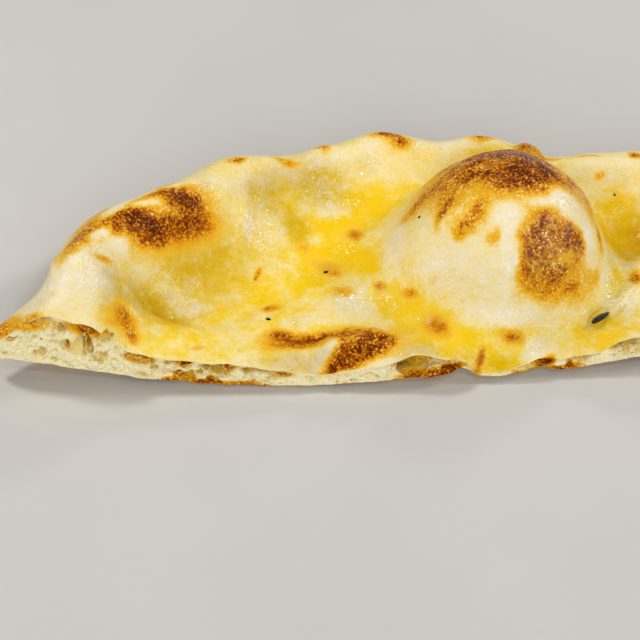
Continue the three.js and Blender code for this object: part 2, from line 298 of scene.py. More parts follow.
@dataclass(frozen=True)
class Fold:
    """A line pressed or raised in the skin, along a path of places.

    A groove is cut width wide and size deep. A ridge stands as high. A step lifts the skin on the left of
    the path by size, falling away over reach, and drops sharply on its right.
    """

    name: str
    kind: FoldKind
    path: tuple[Place, ...]
    size: float
    width: float
    reach: float = 2.0

    def lift(self, places: Array, skin: Skin) -> Array:
        """How far each place is moved outwards.

        Args:
            places: points, in millimetres.
            skin: the surface that the path lies on.

        Returns:
            One distance for each place, in millimetres.
        """
        points = np.array(self.path)
        steps = np.linalg.norm(np.diff(points, axis=0), axis=1)
        starts = np.concatenate([[0.0], np.cumsum(steps)])
        nearest = np.full(len(places), 1e9)
        run = np.zeros(len(places))
        side = np.zeros(len(places))
        for start, end, before, step in zip(points[:-1], points[1:], starts, steps):
            heading = (end - start) / step
            share = np.clip((places - start) @ heading, 0.0, step)
            away = places - start - share[:, None] * heading
            distance = np.linalg.norm(away, axis=1)
            left = np.cross(skin.normal_at(tuple((start + end) / 2)), heading)
            closer = distance < nearest
            run = np.where(closer, before + share, run)
            side = np.where(closer, np.sign(away @ left), side)
            nearest = np.minimum(nearest, distance)
        taper = np.sqrt(np.sin(np.pi * np.clip(run / starts[-1], 0.0, 1.0)))
        if self.kind is FoldKind.GROOVE:
            banks = BANK_HEIGHT * bell((nearest - BANK_OFFSET * self.width) / self.width)
            return taper * self.size * (banks - bell(nearest / self.width))
        if self.kind is FoldKind.RIDGE:
            return taper * self.size * bell(nearest / self.width)
        signed = nearest * side
        raised = ramp(signed, -self.width, self.width) * bell(np.maximum(signed, 0.0) / self.reach)
        sunk = ramp(-signed, -self.width, self.width) * bell(np.maximum(-signed, 0.0) / self.reach)
        return taper * self.size * (raised - SUNK_SHARE * sunk)


# A mark is given by its name, place, reach, turn, level and crispness, which goes unsaid where it is usual.

# baked brown, darker where marks meet
TOAST = (
    Mark("shoulder_left", (20.9, 18.4, 13.7), (5.8, 2.8), -4, 0.54, 2.0),
    Mark("shoulder_right", (27.0, 22.8, 12.5), (3.9, 3.0), 32, 0.45, 2.0),
    Mark("shoulder_dark_left", (21.1, 19.4, 14.2), (2.9, 1.4), -21, 0.66),
    Mark("shoulder_dark_mid", (23.2, 18.9, 12.7), (1.6, 0.9), -12, 0.52),
    Mark("shoulder_dark_right", (27.1, 24.5, 13.7), (2.9, 1.8), -16, 0.76),
    Mark("shoulder_tail", (23.3, 24.9, 14.5), (2.1, 1.1), 25, 0.6),
    Mark("shoulder_low", (27.8, 21.3, 10.9), (4.1, 1.5), 5, 0.4),
    Mark("shoulder_end", (30.0, 22.4, 10.7), (1.5, 1.2), 7, 0.28),
    Mark("tip_rim", (12.4, 13.3, 15.9), (5.8, 1.8), 63, 0.54, 1.5),
    Mark("tip_rim_low", (10.8, 9.8, 15.1), (1.8, 1.1), -33, 0.35, 1.0),
    Mark("saddle_dab", (9.9, 5.6, 13.4), (0.9, 0.5), -1, 0.35, 1.0),
    Mark("tip_crust", (4.6, 2.9, 9.2), (5.2, 2.2), -22, 0.56, 2.0),
    Mark("tip_lip", (7.5, 2.5, 11.8), (1.6, 0.6), -22, 0.38, 1.0),
    Mark("shoulder_front", (16.6, 19.2, 14.9), (2.6, 1.0), 30, 0.44, 1.5),
    Mark("lip_shade", (17.0, 3.6, 9.4), (3.6, 0.9), -10, 0.16, 1.0),
    Mark("smear", (18.9, 5.4, 9.1), (2.7, 1.5), -48, 0.59, 0.9),
    Mark("smear_foot", (20.6, 3.3, 7.1), (1.0, 0.8), -27, 0.38, 1.0),
    Mark("basin_dab", (30.0, 3.0, 4.9), (1.3, 0.5), 22, 0.2, 1.0),
    Mark("back_dab_1", (34.7, 34.4, 11.9), (1.5, 0.8), 20, 0.5, 1.0),
    Mark("back_dab_2", (42.1, 36.4, 9.9), (2.0, 0.8), -5, 0.5, 1.0),
    Mark("back_dab_3", (47.0, 39.0, 10.1), (1.7, 0.9), -65, 0.45, 1.0),
    Mark("back_line", (56.8, 41.4, 11.0), (2.4, 0.9), -2, 0.6),
    Mark("back_patch", (58.5, 40.0, 10.9), (1.3, 1.0), -1, 0.52),
    Mark("back_faint", (64.8, 39.5, 10.1), (0.7, 0.5), -16, 0.2, 1.0),
    Mark("back_dab_4", (70.4, 40.8, 10.9), (1.9, 1.2), 27, 0.52),
    Mark("back_knob", (77.5, 39.2, 9.8), (1.8, 1.4), 20, 0.6),
    Mark("back_line_2", (80.6, 38.4, 9.1), (2.2, 0.5), 0, 0.34, 1.0),
    Mark("back_line_3", (86.7, 38.9, 9.1), (2.6, 0.5), -2, 0.24, 1.0),
    Mark("back_corner", (93.7, 39.1, 9.1), (1.0, 1.0), -29, 0.5, 1.0),
    Mark("right_dab", (88.1, 35.6, 8.5), (1.0, 0.7), 46, 0.5),
    Mark("right_faint", (91.1, 33.0, 6.2), (1.3, 0.4), 0, 0.2, 1.0),
    Mark("right_wrinkle", (86.7, 19.6, 10.8), (2.0, 0.7), -50, 0.35, 1.0),
    Mark("right_low", (92.3, 17.6, 4.6), (1.3, 1.0), -68, 0.5, 1.0),
    Mark("seed_glow", (86.5, 5.6, 4.3), (1.2, 1.2), -1, 0.13, 1.0),
    Mark("centre_1", (52.1, 26.1, 5.0), (1.5, 1.1), -22, 0.48, 1.0),
    Mark("centre_2", (44.0, 24.4, 4.3), (1.2, 0.5), 7, 0.25, 1.0),
    Mark("centre_3", (47.9, 21.0, 3.4), (2.9, 1.5), -36, 0.24, 1.0),
    Mark("centre_4", (48.9, 19.3, 3.8), (1.2, 0.7), -23, 0.28, 1.0),
    Mark("centre_5", (49.9, 15.1, 4.3), (2.0, 1.2), -15, 0.33, 1.0),
    Mark("centre_6", (55.4, 14.8, 5.5), (1.3, 0.8), -27, 0.48, 1.0),
    Mark("centre_7", (59.3, 12.3, 6.8), (1.5, 0.7), -7, 0.46, 1.0),
    Mark("dash", (37.9, 18.6, 4.3), (1.3, 0.4), 54, 0.46, 1.0),
    Mark("floor_dab", (39.7, 12.1, 3.8), (1.4, 1.1), -17, 0.45, 1.0),
    Mark("wall_faint", (34.1, 17.1, 3.6), (0.8, 0.6), 2, 0.16, 1.0),
    Mark("front_dabs", (63.3, 6.7, 5.4), (2.2, 1.5), -52, 0.34, 1.0),
    Mark("front_dab_core", (63.2, 7.0, 5.5), (0.9, 0.6), -12, 0.3, 1.0),
    Mark("flap_dab", (73.6, 5.0, 5.1), (1.8, 1.0), -10, 0.36, 1.0),
    Mark("flap_dab_core", (73.5, 5.1, 5.2), (0.8, 0.6), 0, 0.3, 1.0),
    Mark("crevice_start", (41.2, 6.4, 4.1), (1.9, 0.8), 6, 0.52),
    Mark("crevice_line", (44.5, 5.9, 3.8), (2.8, 0.65), 2, 0.7),
    Mark("crevice_rise", (47.3, 5.9, 4.1), (1.6, 0.9), 12, 0.65),
    Mark("crevice_crest", (49.9, 6.2, 4.4), (1.7, 0.9), 41, 0.5),
    Mark("crest", (52.8, 4.8, 5.5), (2.5, 1.3), -38, 0.34, 1.5),
    Mark("crest_fall", (55.8, 3.9, 6.0), (1.7, 1.0), -20, 0.22, 1.5),
    Mark("under_crevice", (42.2, 4.6, 3.9), (3.6, 1.5), 6, 0.38, 1.3),
    Mark("blister_brown", (52.5, 2.3, 5.3), (5.4, 2.0), 20, 0.61, 2.5),
    Mark("blister_top", (50.3, 4.6, 5.0), (1.8, 0.9), 25, 0.42),
    Mark("blister_tail", (49.2, 0.9, 3.5), (2.0, 0.7), 51, 0.62, 2.0),
    Mark("blister_dark", (51.5, 2.3, 5.1), (1.8, 1.1), 20, 0.06, 1.0),
    Mark("cap", (72.9, 26.4, 18.6), (8.9, 4.2), -4, 0.45, 2.0),
    Mark("cap_back", (71.5, 31.5, 16.0), (9.0, 4.2), -8, 0.54, 1.5),
    Mark("cap_dark", (75.8, 24.7, 18.5), (4.1, 3.0), 19, 0.55),
    Mark("cap_front", (74.3, 22.2, 18.8), (2.9, 1.3), 6, 0.52, 1.5),
    Mark("cap_dark_right", (79.5, 27.2, 17.1), (3.5, 2.4), -85, 0.45),
    Mark("cap_left", (65.7, 25.2, 16.6), (5.4, 3.8), 68, 0.21, 2.0),
    Mark("cap_streak", (60.6, 24.2, 13.0), (3.9, 1.7), 22, 0.3),
    Mark("cap_streak_foot", (58.9, 22.9, 11.1), (1.8, 1.1), -46, 0.3, 1.0),
    Mark("cap_golden", (64.8, 20.6, 17.0), (2.3, 1.9), 76, 0.16, 1.0),
    Mark("cap_drip", (66.9, 15.4, 16.5), (2.1, 1.2), 38, 0.46),
    Mark("cap_drip_up", (69.0, 17.8, 17.9), (2.0, 1.1), 49, 0.38, 1.0),
    Mark("cap_drip_left", (63.9, 18.2, 16.4), (1.7, 0.7), 57, 0.38, 1.0),
    Mark("cap_drip_right", (71.4, 13.7, 16.5), (1.7, 0.9), 55, 0.3, 1.0),
    Mark("cap_right", (82.0, 24.6, 16.4), (2.6, 0.7), 76, 0.2),
    Mark("cap_edge", (84.0, 23.6, 14.2), (2.6, 0.7), -43, 0.3, 1.0),
    Mark("cheek", (79.2, 13.1, 13.6), (6.8, 5.7), 74, 0.43, 2.4),
    Mark("cheek_low_right", (82.4, 10.6, 9.4), (2.2, 1.3), -20, 0.3),
    Mark("cheek_dark_top", (77.8, 15.7, 16.6), (3.1, 1.3), 74, 0.2, 1.0),
    Mark("cheek_dark_right", (83.1, 15.9, 13.5), (2.1, 1.3), -41, 0.45, 1.0),
    Mark("cheek_dark_left", (75.7, 11.0, 13.9), (3.7, 1.2), 80, 0.32, 1.0),
    Mark("cheek_fade", (85.6, 14.3, 8.3), (1.9, 1.8), -31, 0.24, 1.0),
    Mark("foot_dab_1", (63.2, 11.7, 10.1), (1.3, 0.6), 41, 0.24, 1.0),
    Mark("foot_dab_2", (66.8, 10.6, 11.2), (1.3, 0.6), 6, 0.22, 1.0),
    Mark("foot_dab_3", (66.8, 9.1, 8.5), (0.7, 0.4), 5, 0.16, 1.0),
    # the round end
    Mark("end_patch", (103.5, 24.5, 6.8), (5.2, 3.4), 25, 0.55, 2.0),
    Mark("end_patch_dark", (104.6, 25.4, 6.9), (2.6, 1.6), 30, 0.62),
    Mark("end_rim", (121.5, 22.5, 8.6), (5.0, 1.7), -50, 0.58, 1.5),
    Mark("end_rim_dark", (119.5, 25.5, 9.6), (2.0, 1.0), -45, 0.55),
    Mark("end_rim_back", (106.0, 36.6, 9.6), (3.4, 1.2), -18, 0.52, 1.5),
    Mark("end_dab_1", (98.0, 13.0, 6.4), (1.7, 1.1), 30, 0.46),
    Mark("end_dab_2", (110.5, 13.5, 6.2), (2.2, 1.3), -20, 0.5),
    Mark("end_dab_3", (115.5, 18.5, 6.0), (1.3, 0.8), 40, 0.42),
    Mark("end_dab_4", (99.5, 33.0, 7.2), (1.6, 0.9), -30, 0.44),
    Mark("end_cut_dab", (119.0, 12.5, 8.0), (1.8, 0.9), 10, 0.4),
)

# yellow with melted butter
BUTTER = (
    Mark("valley_top", (55.7, 32.6, 6.0), (5.9, 2.4), 9, 0.95, 1.5),
    Mark("valley_mid", (50.5, 28.7, 5.1), (6.5, 3.4), 14, 0.95, 1.5),
    Mark("valley_left", (47.2, 23.4, 3.5), (5.0, 3.2), 25, 0.9, 1.5),
    Mark("valley_low", (54.4, 19.7, 5.7), (8.0, 2.5), -38, 0.75, 1.5),
    Mark("apron_left", (57.9, 11.8, 5.7), (5.7, 2.6), -26, 0.95, 1.5),
    Mark("apron", (62.3, 6.3, 5.2), (6.6, 3.2), -24, 0.9, 1.5),
    Mark("apron_right", (71.4, 4.2, 4.3), (7.0, 2.8), -10, 0.56, 1.5),
    Mark("flap", (72.1, 2.0, 2.0), (4.2, 1.7), -1, 1.0, 1.5),
    Mark("floor", (37.6, 12.6, 2.9), (9.6, 5.8), -22, 0.42, 1.5),
    Mark("floor_front", (42.0, 4.2, 4.2), (4.9, 3.6), -1, 0.55, 1.5),
    Mark("wall", (29.5, 18.3, 6.9), (8.8, 6.2), 4, 0.44, 1.5),
    Mark("wall_foot", (31.5, 10.4, 3.5), (8.3, 1.0), 30, 0.27),
    Mark("wall_left", (24.0, 9.0, 6.9), (4.6, 2.5), -14, 0.88, 1.3),
    Mark("valley_olive", (43.2, 27.2, 5.6), (1.9, 2.6), 20, 0.75, 1.3),
    Mark("basin", (27.5, 3.6, 5.3), (10.5, 4.0), 3, 0.34),
    Mark("smear_side", (18.4, 4.9, 9.9), (3.2, 2.4), 7, 0.6),
    Mark("right_hollow", (90.7, 27.9, 3.5), (6.4, 4.3), -78, 1.0, 1.5),
    Mark("right_foot", (89.2, 16.4, 5.0), (3.6, 1.6), 76, 0.62),
    Mark("seed_butter", (87.1, 5.6, 4.3), (2.0, 1.7), 9, 1.0, 1.5),
    Mark("valley_edge", (45.8, 28.2, 5.6), (1.4, 1.6), 0, 0.45),
    Mark("bank_low", (41.4, 23.0, 4.8), (2.6, 1.2), 10, 0.4),
    Mark("crease_top", (47.8, 8.0, 4.2), (4.6, 0.9), 0, 0.7),
    Mark("notch", (33.7, 21.1, 6.5), (1.1, 0.9), 88, 0.5, 1.0),
    Mark("centre_left", (45.5, 17.5, 3.6), (4.2, 3.4), -20, 0.66),
    Mark("apron_top", (61.2, 9.2, 5.9), (3.6, 1.9), -24, 0.95, 1.5),
    Mark("centre", (50.6, 21.5, 3.9), (5.0, 3.4), -20, 0.7),
    Mark("rim_froth_yellow", (46.8, 33.2, 8.0), (5.2, 3.6), 10, 0.47),
    Mark("rim_left", (40.5, 31.0, 9.5), (6.0, 4.0), 15, 0.38),
    Mark("neck_crease", (18.6, 7.4, 10.4), (2.6, 3.6), -10, 0.76),
    Mark("below_seed", (82.0, 6.4, 4.8), (6.0, 2.6), 4, 0.48),
    Mark("right_low", (89.8, 8.5, 5.4), (5.5, 3.4), 10, 0.46),
    Mark("behind_bubble", (76.0, 36.5, 6.5), (9.0, 2.6), -4, 0.7, 1.5),
    Mark("end_hollow", (112.0, 20.5, 4.6), (4.2, 6.5), -20, 0.9, 1.5),
    Mark("end_front", (101.0, 9.0, 6.0), (7.0, 2.6), 10, 0.6, 1.5),
)

# toast on the torn face and its edges, one dab that the pale neck doesn't hide, and painted shade in toast's
# colours under the crust at the tip and in the hollow under the lip
CUT_TOAST_AND_SHADE = (
    Mark("neck_dab", (16.8, 11.3, 14.3), (2.1, 0.7), 14, 0.3, 1.0),
    Mark("tip_shade", (7.2, 2.0, 9.8), (3.6, 0.8), 6, 0.2, 1.0),
    Mark("cave_shade", (14.6, 2.9, 9.0), (2.6, 0.9), -14, 0.54, 1.0),
    Mark("rolled_crust", (63.2, 1.0, 2.2), (4.2, 0.75), 12, 0.52, 2.0),
    Mark("rolled_crust_dark", (65.2, 1.5, 2.6), (1.7, 0.6), 14, 0.5),
    Mark("rolled_crust_tail", (58.8, 0.5, 1.5), (1.8, 0.5), 8, 0.25),
    Mark("flap_streak", (69.3, 2.8, 2.9), (0.6, 1.9), -12, 0.55),
    Mark("torn_knot", (78.5, 2.9, 2.3), (1.5, 0.8), 20, 0.78, 1.5),
    Mark("torn_edge", (80.8, 2.8, 0.9), (3.4, 0.5), 3, 0.55),
    Mark("foot_char_1", (31.2, 0.2, 0.5), (2.2, 0.5), 0, 0.7, 1.5),
    Mark("foot_char_2", (26.3, 0.4, 0.8), (2.3, 0.4), -3, 0.5),
    Mark("foot_char_3", (36.0, 0.1, 0.3), (2.4, 0.4), 0, 0.42),
)

# floury and pale, which also hides the toast under it; some are painted highlight: the glint on the bank,
# the bright bulge of the wall, the glows on the shoulder and cheek, the bright rim on the shoulder's top
# edge and the lit sides of the bubble
PALE_AND_HIGHLIGHT = (
    Mark("shoulder_gap", (22.1, 22.3, 15.0), (2.5, 0.8), 16, 0.8),
    Mark("rim_gap", (15.7, 15.6, 15.0), (2.4, 1.0), 48, 0.85, 1.5),
    Mark("shoulder_glow", (25.6, 22.1, 13.4), (1.4, 0.9), -6, 0.5, 1.0),
    Mark("fold", (47.0, 2.2, 4.5), (3.3, 1.0), 60, 0.97, 2.0),
    Mark("fold_low", (54.1, 0.4, 3.7), (4.8, 0.6), 12, 0.62, 2.0),
    Mark("fold_front", (44.4, 2.1, 3.9), (4.6, 1.8), 4, 0.62, 2.0),
    Mark("cap_cream", (73.1, 16.5, 17.9), (3.1, 2.2), -15, 0.75, 1.5),
    Mark("strip", (73.1, 11.9, 15.4), (6.8, 1.3), 84, 0.95, 2.0),
    Mark("bubble_foot", (67.1, 11.8, 13.2), (7.8, 4.8), 3, 0.62),
    Mark("bubble_low", (73.0, 7.3, 7.7), (6.7, 2.2), -2, 0.72),
    Mark("cap_gap", (78.4, 19.6, 17.9), (3.4, 1.2), 14, 0.76, 1.3),
    Mark("cap_white_right", (81.4, 20.2, 16.8), (3.5, 2.2), -45, 0.95, 1.5),
    Mark("cap_white_low", (84.6, 17.8, 13.2), (3.2, 1.7), -65, 0.92, 1.5),
    Mark("cheek_side", (85.4, 15.4, 10.3), (2.8, 1.5), -78, 0.8),
    Mark("right_cream", (87.6, 16.3, 6.8), (1.3, 4.2), 0, 0.7, 1.5),
    Mark("right_cream_low", (90.2, 11.8, 5.2), (2.8, 2.2), 30, 0.42, 1.5),
    Mark("cheek_glow", (81.4, 13.4, 12.8), (2.1, 1.4), -13, 0.5, 1.0),
    Mark("saddle", (12.7, 7.5, 14.3), (8.5, 6.0), -10, 0.8, 1.5),
    Mark("tip_top", (5.5, 3.5, 10.0), (4.5, 3.0), -20, 0.6),
    # the bright rim along the shoulder's top edge is partly painted highlight
    Mark("shoulder_rim", (17.3, 20.4, 15.0), (4.0, 0.8), 46, 0.8, 1.5),
    Mark("shoulder_rim_top", (25.2, 26.4, 14.1), (3.4, 0.7), 32, 0.75, 1.5),
    Mark("shoulder_rim_mid", (21.5, 24.9, 14.2), (3.0, 0.8), 36, 0.85, 1.5),
    Mark("shoulder_edge", (17.5, 22.0, 14.5), (3.6, 0.7), 44, 0.88, 1.8),
    Mark("cheek_glow_low", (78.6, 10.0, 10.6), (1.8, 1.0), 0, 0.3, 1.0),
    Mark("wall_low", (32.4, 15.0, 3.2), (1.8, 1.0), 20, 0.35, 1.0),
    # painted highlight on the wall's bulge
    Mark("wall_bulge", (29.4, 11.9, 4.3), (2.2, 0.9), 22, 0.6),
    Mark("cheek_low", (77.3, 2.9, 3.4), (2.4, 1.2), 4, 0.8),
    Mark("rim_back", (37.4, 32.9, 10.7), (8.8, 2.0), 21, 0.45, 1.5),
    Mark("rim_back_2", (50.6, 38.1, 10.5), (7.1, 1.6), 17, 0.5, 1.5),
    Mark("rim_back_3", (67.5, 40.0, 10.4), (5.0, 1.2), 0, 0.75, 1.5),
    Mark("rim_right", (86.8, 36.9, 9.1), (7.7, 2.0), 1, 0.45, 1.5),
    Mark("neck_rim", (17.8, 14.9, 13.4), (4.2, 1.5), 42, 0.8, 1.5),
    # painted light on the bubble's left side, which faces the key
    Mark("bubble_left", (57.6, 18.6, 8.6), (3.0, 5.4), -5, 0.85, 1.5),
    Mark("centre_white_1", (48.2, 30.4, 6.0), (2.2, 1.5), -17, 0.9),
    Mark("centre_white_2", (46.1, 25.6, 4.4), (1.6, 1.0), -14, 0.5, 1.0),
    Mark("centre_white_3", (51.9, 12.8, 4.3), (3.1, 2.4), -10, 0.6, 1.5),
    Mark("centre_white_4", (44.5, 8.6, 4.5), (2.8, 1.5), 8, 0.5),
    Mark("flap_white", (77.7, 4.5, 4.1), (2.8, 1.4), 30, 0.8),
    Mark("bank_glint", (36.2, 24.8, 8.1), (0.9, 3.2), 0, 0.8),
)

# dull and see-through where butter soaks the dough; the same darker tint is also painted shade on the wall's
# flank, in the hollow beside the bubble, in the neck's crease, under the lip and the fold, and beside the
# seed
SOAKED_AND_SHADE = (
    # painted shade on the wall's flank and its left foot, with butter-dark dough
    Mark("wall", (29.5, 18.0, 6.9), (8.5, 7.2), 0, 0.54, 1.5),
    Mark("wall_left", (23.6, 9.3, 7.2), (5.2, 3.1), -14, 0.8, 1.3),
    Mark("valley_olive", (43.2, 27.2, 5.6), (2.2, 3.0), 20, 0.54, 1.5),
    # painted shade in the hollow beside the bubble
    Mark("right_deep", (93.2, 26.4, 3.5), (3.2, 5.8), -10, 1.0, 1.3),
    # painted shade in the neck's crease
    Mark("neck", (18.2, 7.6, 10.8), (2.5, 3.4), -10, 0.5),
    Mark("smear_side", (19.6, 5.6, 9.2), (3.3, 2.7), 0, 0.58),
    Mark("neck_high", (16.6, 9.2, 12.4), (1.8, 2.6), -10, 0.35),
    Mark("seed_shade", (85.9, 8.3, 5.2), (2.6, 1.4), 36, 0.85),
    Mark("bank_top", (38.4, 31.3, 9.1), (4.4, 2.6), 20, 0.51),
    Mark("rim_left", (43.2, 34.6, 9.6), (4.4, 2.6), 12, 0.42),
    Mark("rim_froth", (46.8, 33.0, 8.0), (4.6, 3.4), 10, 0.48),
    Mark("right_hollow", (90.2, 29.5, 4.8), (3.4, 6.5), -10, 0.34),
    Mark("right_rim", (88.0, 35.4, 8.4), (5.0, 1.8), 0, 0.28),
    Mark("flap", (72.1, 2.2, 2.2), (4.2, 1.7), 0, 0.46),
    Mark("below_seed", (82.5, 5.0, 3.9), (5.5, 2.4), 4, 0.28),
    # painted shade under the lip and on the fold's front
    Mark("lip", (58.6, 2.8, 4.9), (5.6, 2.0), -10, 0.57),
    Mark("fold_front", (43.6, 1.6, 3.6), (5.6, 2.0), 0, 0.57, 1.5),
    Mark("fold", (47.8, 2.3, 4.5), (1.6, 2.2), 0, 0.26),
    Mark("right_low", (88.8, 9.6, 5.2), (3.6, 2.2), 20, 0.46),
    Mark("bank_foot", (39.9, 29.6, 7.5), (2.6, 2.4), 0, 0.46),
    Mark("end_hollow", (111.5, 21.0, 5.0), (4.0, 7.0), -20, 0.42),
)

# frothy with tiny blisters that glint
FROTH = (
    Mark("rim_froth", (46.6, 33.9, 8.4), (3.7, 3.4), 7, 0.9),
    Mark("rim_froth_right", (53.5, 36.5, 9.2), (2.0, 1.7), 3, 0.7),
    Mark("valley_froth", (50.6, 31.4, 6.0), (4.3, 2.3), 4, 0.6),
    Mark("lip_froth", (67.5, 3.0, 3.0), (2.4, 1.2), 12, 0.9),
    Mark("apron_froth", (78.5, 7.0, 6.1), (5.3, 2.5), 10, 0.7),
    Mark("bank_froth", (38.5, 24.2, 6.7), (4.5, 3.3), 70, 0.45),
    Mark("bank_glints", (36.3, 24.8, 8.1), (0.9, 3.2), 0, 0.95, 1.5),
    Mark("wall_glints", (28.8, 11.6, 4.3), (2.6, 1.1), 22, 0.8),
    Mark("wall_glint", (25.0, 11.9, 6.5), (1.1, 0.9), 0, 0.8),
    Mark("flap_froth", (77.7, 4.8, 4.3), (2.4, 1.2), 30, 0.7),
    Mark("cap_top_froth", (74.5, 28.6, 17.8), (6.0, 1.6), -6, 0.6),
    Mark("fold_froth", (43.5, 8.4, 4.5), (2.6, 1.4), 8, 0.5),
    Mark("shoulder_froth", (30.4, 27.6, 13.0), (1.7, 1.3), 43, 0.8),
    Mark("cheek_froth", (79.9, 13.5, 13.9), (6.3, 5.1), -6, 0.7, 1.5),
    Mark("cap_right_froth", (83.0, 21.3, 16.2), (3.5, 2.2), 51, 0.8),
    Mark("seed_froth", (90.2, 12.1, 5.5), (4.2, 3.1), -84, 0.5),
    Mark("right_foot_glints", (88.6, 17.5, 5.6), (1.6, 3.2), 0, 0.7),
    Mark("foot_froth", (65.8, 10.4, 10.0), (6.1, 2.9), 8, 0.35),
    Mark("back_froth", (61.1, 39.2, 10.0), (2.2, 1.1), 89, 0.6),
    Mark("centre_froth", (51.4, 13.2, 4.4), (2.8, 2.1), -8, 0.5),
    Mark("end_froth", (108.0, 29.0, 7.0), (5.0, 3.0), -20, 0.6),
)

# lines pressed into the skin or raised from it
FOLDS = (
    Fold(
        "crevice", FoldKind.GROOVE, size=0.5, width=0.4,
        path=(
            (39.3, 6.3, 4.0), (42.1, 5.9, 3.8), (44.3, 5.8, 3.7),
            (46.3, 5.7, 3.8), (48.1, 6.6, 4.2), (50.1, 7.1, 4.2),
        ),
    ),
    Fold(
        "crest", FoldKind.RIDGE, size=0.35, width=0.7,
        path=((50.1, 7.1, 4.2), (51.9, 7.2, 4.5), (53.9, 6.2, 5.3), (56.1, 4.5, 6.0), (58.2, 3.2, 5.6)),
    ),
    Fold(
        "fold_edge", FoldKind.STEP, size=0.8, width=0.22, reach=1.9,
        path=((47.4, 0.0, 2.2), (47.8, 1.2, 3.5), (48.5, 2.3, 4.7), (49.5, 3.1, 5.5), (50.1, 4.6, 5.6)),
    ),
    Fold(
        "wall_crease", FoldKind.GROOVE, size=0.4, width=0.55,
        path=(
            (21.9, 8.5, 8.4), (23.3, 8.0, 7.1), (25.0, 8.2, 5.7), (28.5, 9.1, 4.0),
            (31.9, 12.0, 3.1), (35.4, 15.3, 2.9), (39.4, 17.8, 3.7),
        ),
    ),
    Fold(
        "seed_fold", FoldKind.STEP, size=0.45, width=0.3, reach=2.0,
        path=((86.3, 7.1, 4.4), (88.6, 9.5, 5.0), (90.9, 12.5, 5.6), (92.1, 15.6, 5.0)),
    ),
    Fold(
        "bank_ridge", FoldKind.RIDGE, size=0.32, width=1.3,
        path=((36.0, 30.5, 10.5), (36.0, 26.2, 8.8), (36.1, 21.5, 6.4)),
    ),
    Fold(
        "bubble_foot", FoldKind.GROOVE, size=0.16, width=0.8,
        path=((56.3, 24.4, 7.1), (57.2, 19.2, 8.5), (58.0, 15.6, 8.0), (59.6, 12.6, 7.3), (62.4, 10.0, 6.9)),
    ),
)

# smooth humps and hollows, whose level is their height in millimetres
SWELLS = (
    Mark("cap_top", (72.0, 28.0, 18.1), (8.0, 5.0), 0, 0.3, 1.5),
    Mark("rim_hump_1", (34.5, 34.8, 12.0), (7.0, 2.4), 12, 0.42, 1.3),
    Mark("rim_hump_1b", (39.6, 36.3, 10.3), (2.4, 1.7), 10, 0.5),
    Mark("rim_hump_2", (46.8, 38.9, 10.1), (2.4, 1.6), 20, 0.75, 1.0),
    Mark("rim_hump_3", (57.0, 41.2, 10.9), (4.6, 1.8), 0, 0.38, 1.3),
    Mark("rim_hump_4", (70.6, 40.9, 10.9), (3.2, 1.7), 0, 0.34),
    Mark("rim_knob", (77.9, 39.4, 9.8), (2.1, 1.7), 10, 1.15, 2.8),
    Mark("neck_hump", (10.2, 10.8, 14.0), (1.6, 2.0), 0, 0.62, 1.0),
    Mark("neck_dip", (8.3, 6.1, 12.4), (1.6, 1.8), 0, -0.4, 1.0),
    Mark("tip_hump", (2.2, 4.4, 7.4), (2.2, 1.8), 0, 0.75, 1.0),
    Mark("right_dip", (92.4, 26.8, 3.5), (3.4, 5.4), 0, -0.9, 1.0),
    Mark("bank_hollow", (38.4, 31.3, 9.1), (3.6, 1.8), 20, -0.4, 1.0),
    Mark("wall_hollow", (33.6, 20.2, 5.9), (1.3, 2.4), 0, -0.35, 1.0),
    Mark("wall_bulge", (29.4, 12.5, 4.0), (3.4, 1.7), 28, 0.35, 1.0),
    Mark("rolled_crust", (63.2, 0.9, 2.3), (4.4, 0.75), 10, 0.5, 1.5),
    Mark("torn_knot", (78.5, 2.9, 2.3), (1.3, 0.7), 20, 0.4),
)


# ---------------------------------------------------------------- the cut


@dataclass(frozen=True)
class CutLine:
    """The cut, read from the frame: how far back it lies at each station, and its top and foot there."""

    stations: Array
    front: Array
    lip: Array
    foot: Array

    @classmethod
    def read(cls, places: Array, fewest: int = 12, slack: float = 0.02) -> "CutLine":
        """Reads the cut off the solid's cross-sections.

        Args:
            places: the solid's points.
            fewest: a cross-section has at least this many points.
            slack: how far behind the foremost point of its section a point still lies on the cut.

        Returns:
            The cut, with its stations in order.
        """
        stations, group = np.unique(np.round(places[:, 0], 3), return_inverse=True)
        rows = []
        for index in np.flatnonzero(np.bincount(group) >= fewest):
            ring = places[group == index]
            edge = ring[ring[:, 1] < ring[:, 1].min() + slack]
            rows.append((stations[index], ring[:, 1].min(), edge[:, 2].max(), edge[:, 2].min()))
        return cls(*np.array(rows).T)

    def front_at(self, s: Array) -> Array:
        """Depth of the cut at stations."""
        return np.interp(s, self.stations, self.front)

    def lip_at(self, s: Array) -> Array:
        """Height of the crust's edge above the cut."""
        return np.interp(s, self.stations, self.lip)

    def foot_at(self, s: Array) -> Array:
        """Height of the underside's edge below the cut."""
        return np.interp(s, self.stations, self.foot)


@dataclass(frozen=True)
class Pore:
    """A torn pore of the crumb: station and height of its mouth, reach along and up, depth, and tilt.

    The tilt is in degrees. Char says how browned its inside is, from 0 to 1.
    """

    name: str
    s: float
    z: float
    reach: tuple[float, float]
    depth: float
    tilt: float = 0.0
    char: float = 0.0

    def off(self, places: Array, wider: float) -> Array:
        """How far places lie from the middle of the mouth, seen from the front.

        Args:
            places: points, in millimetres.
            wider: how many times as wide as the mouth counts as 1.

        Returns:
            One distance for each place.
        """
        along = (places[:, 0] - self.s) / (wider * self.reach[0])
        up = (places[:, 2] - self.z) / (wider * self.reach[1])
        return np.hypot(along, up)


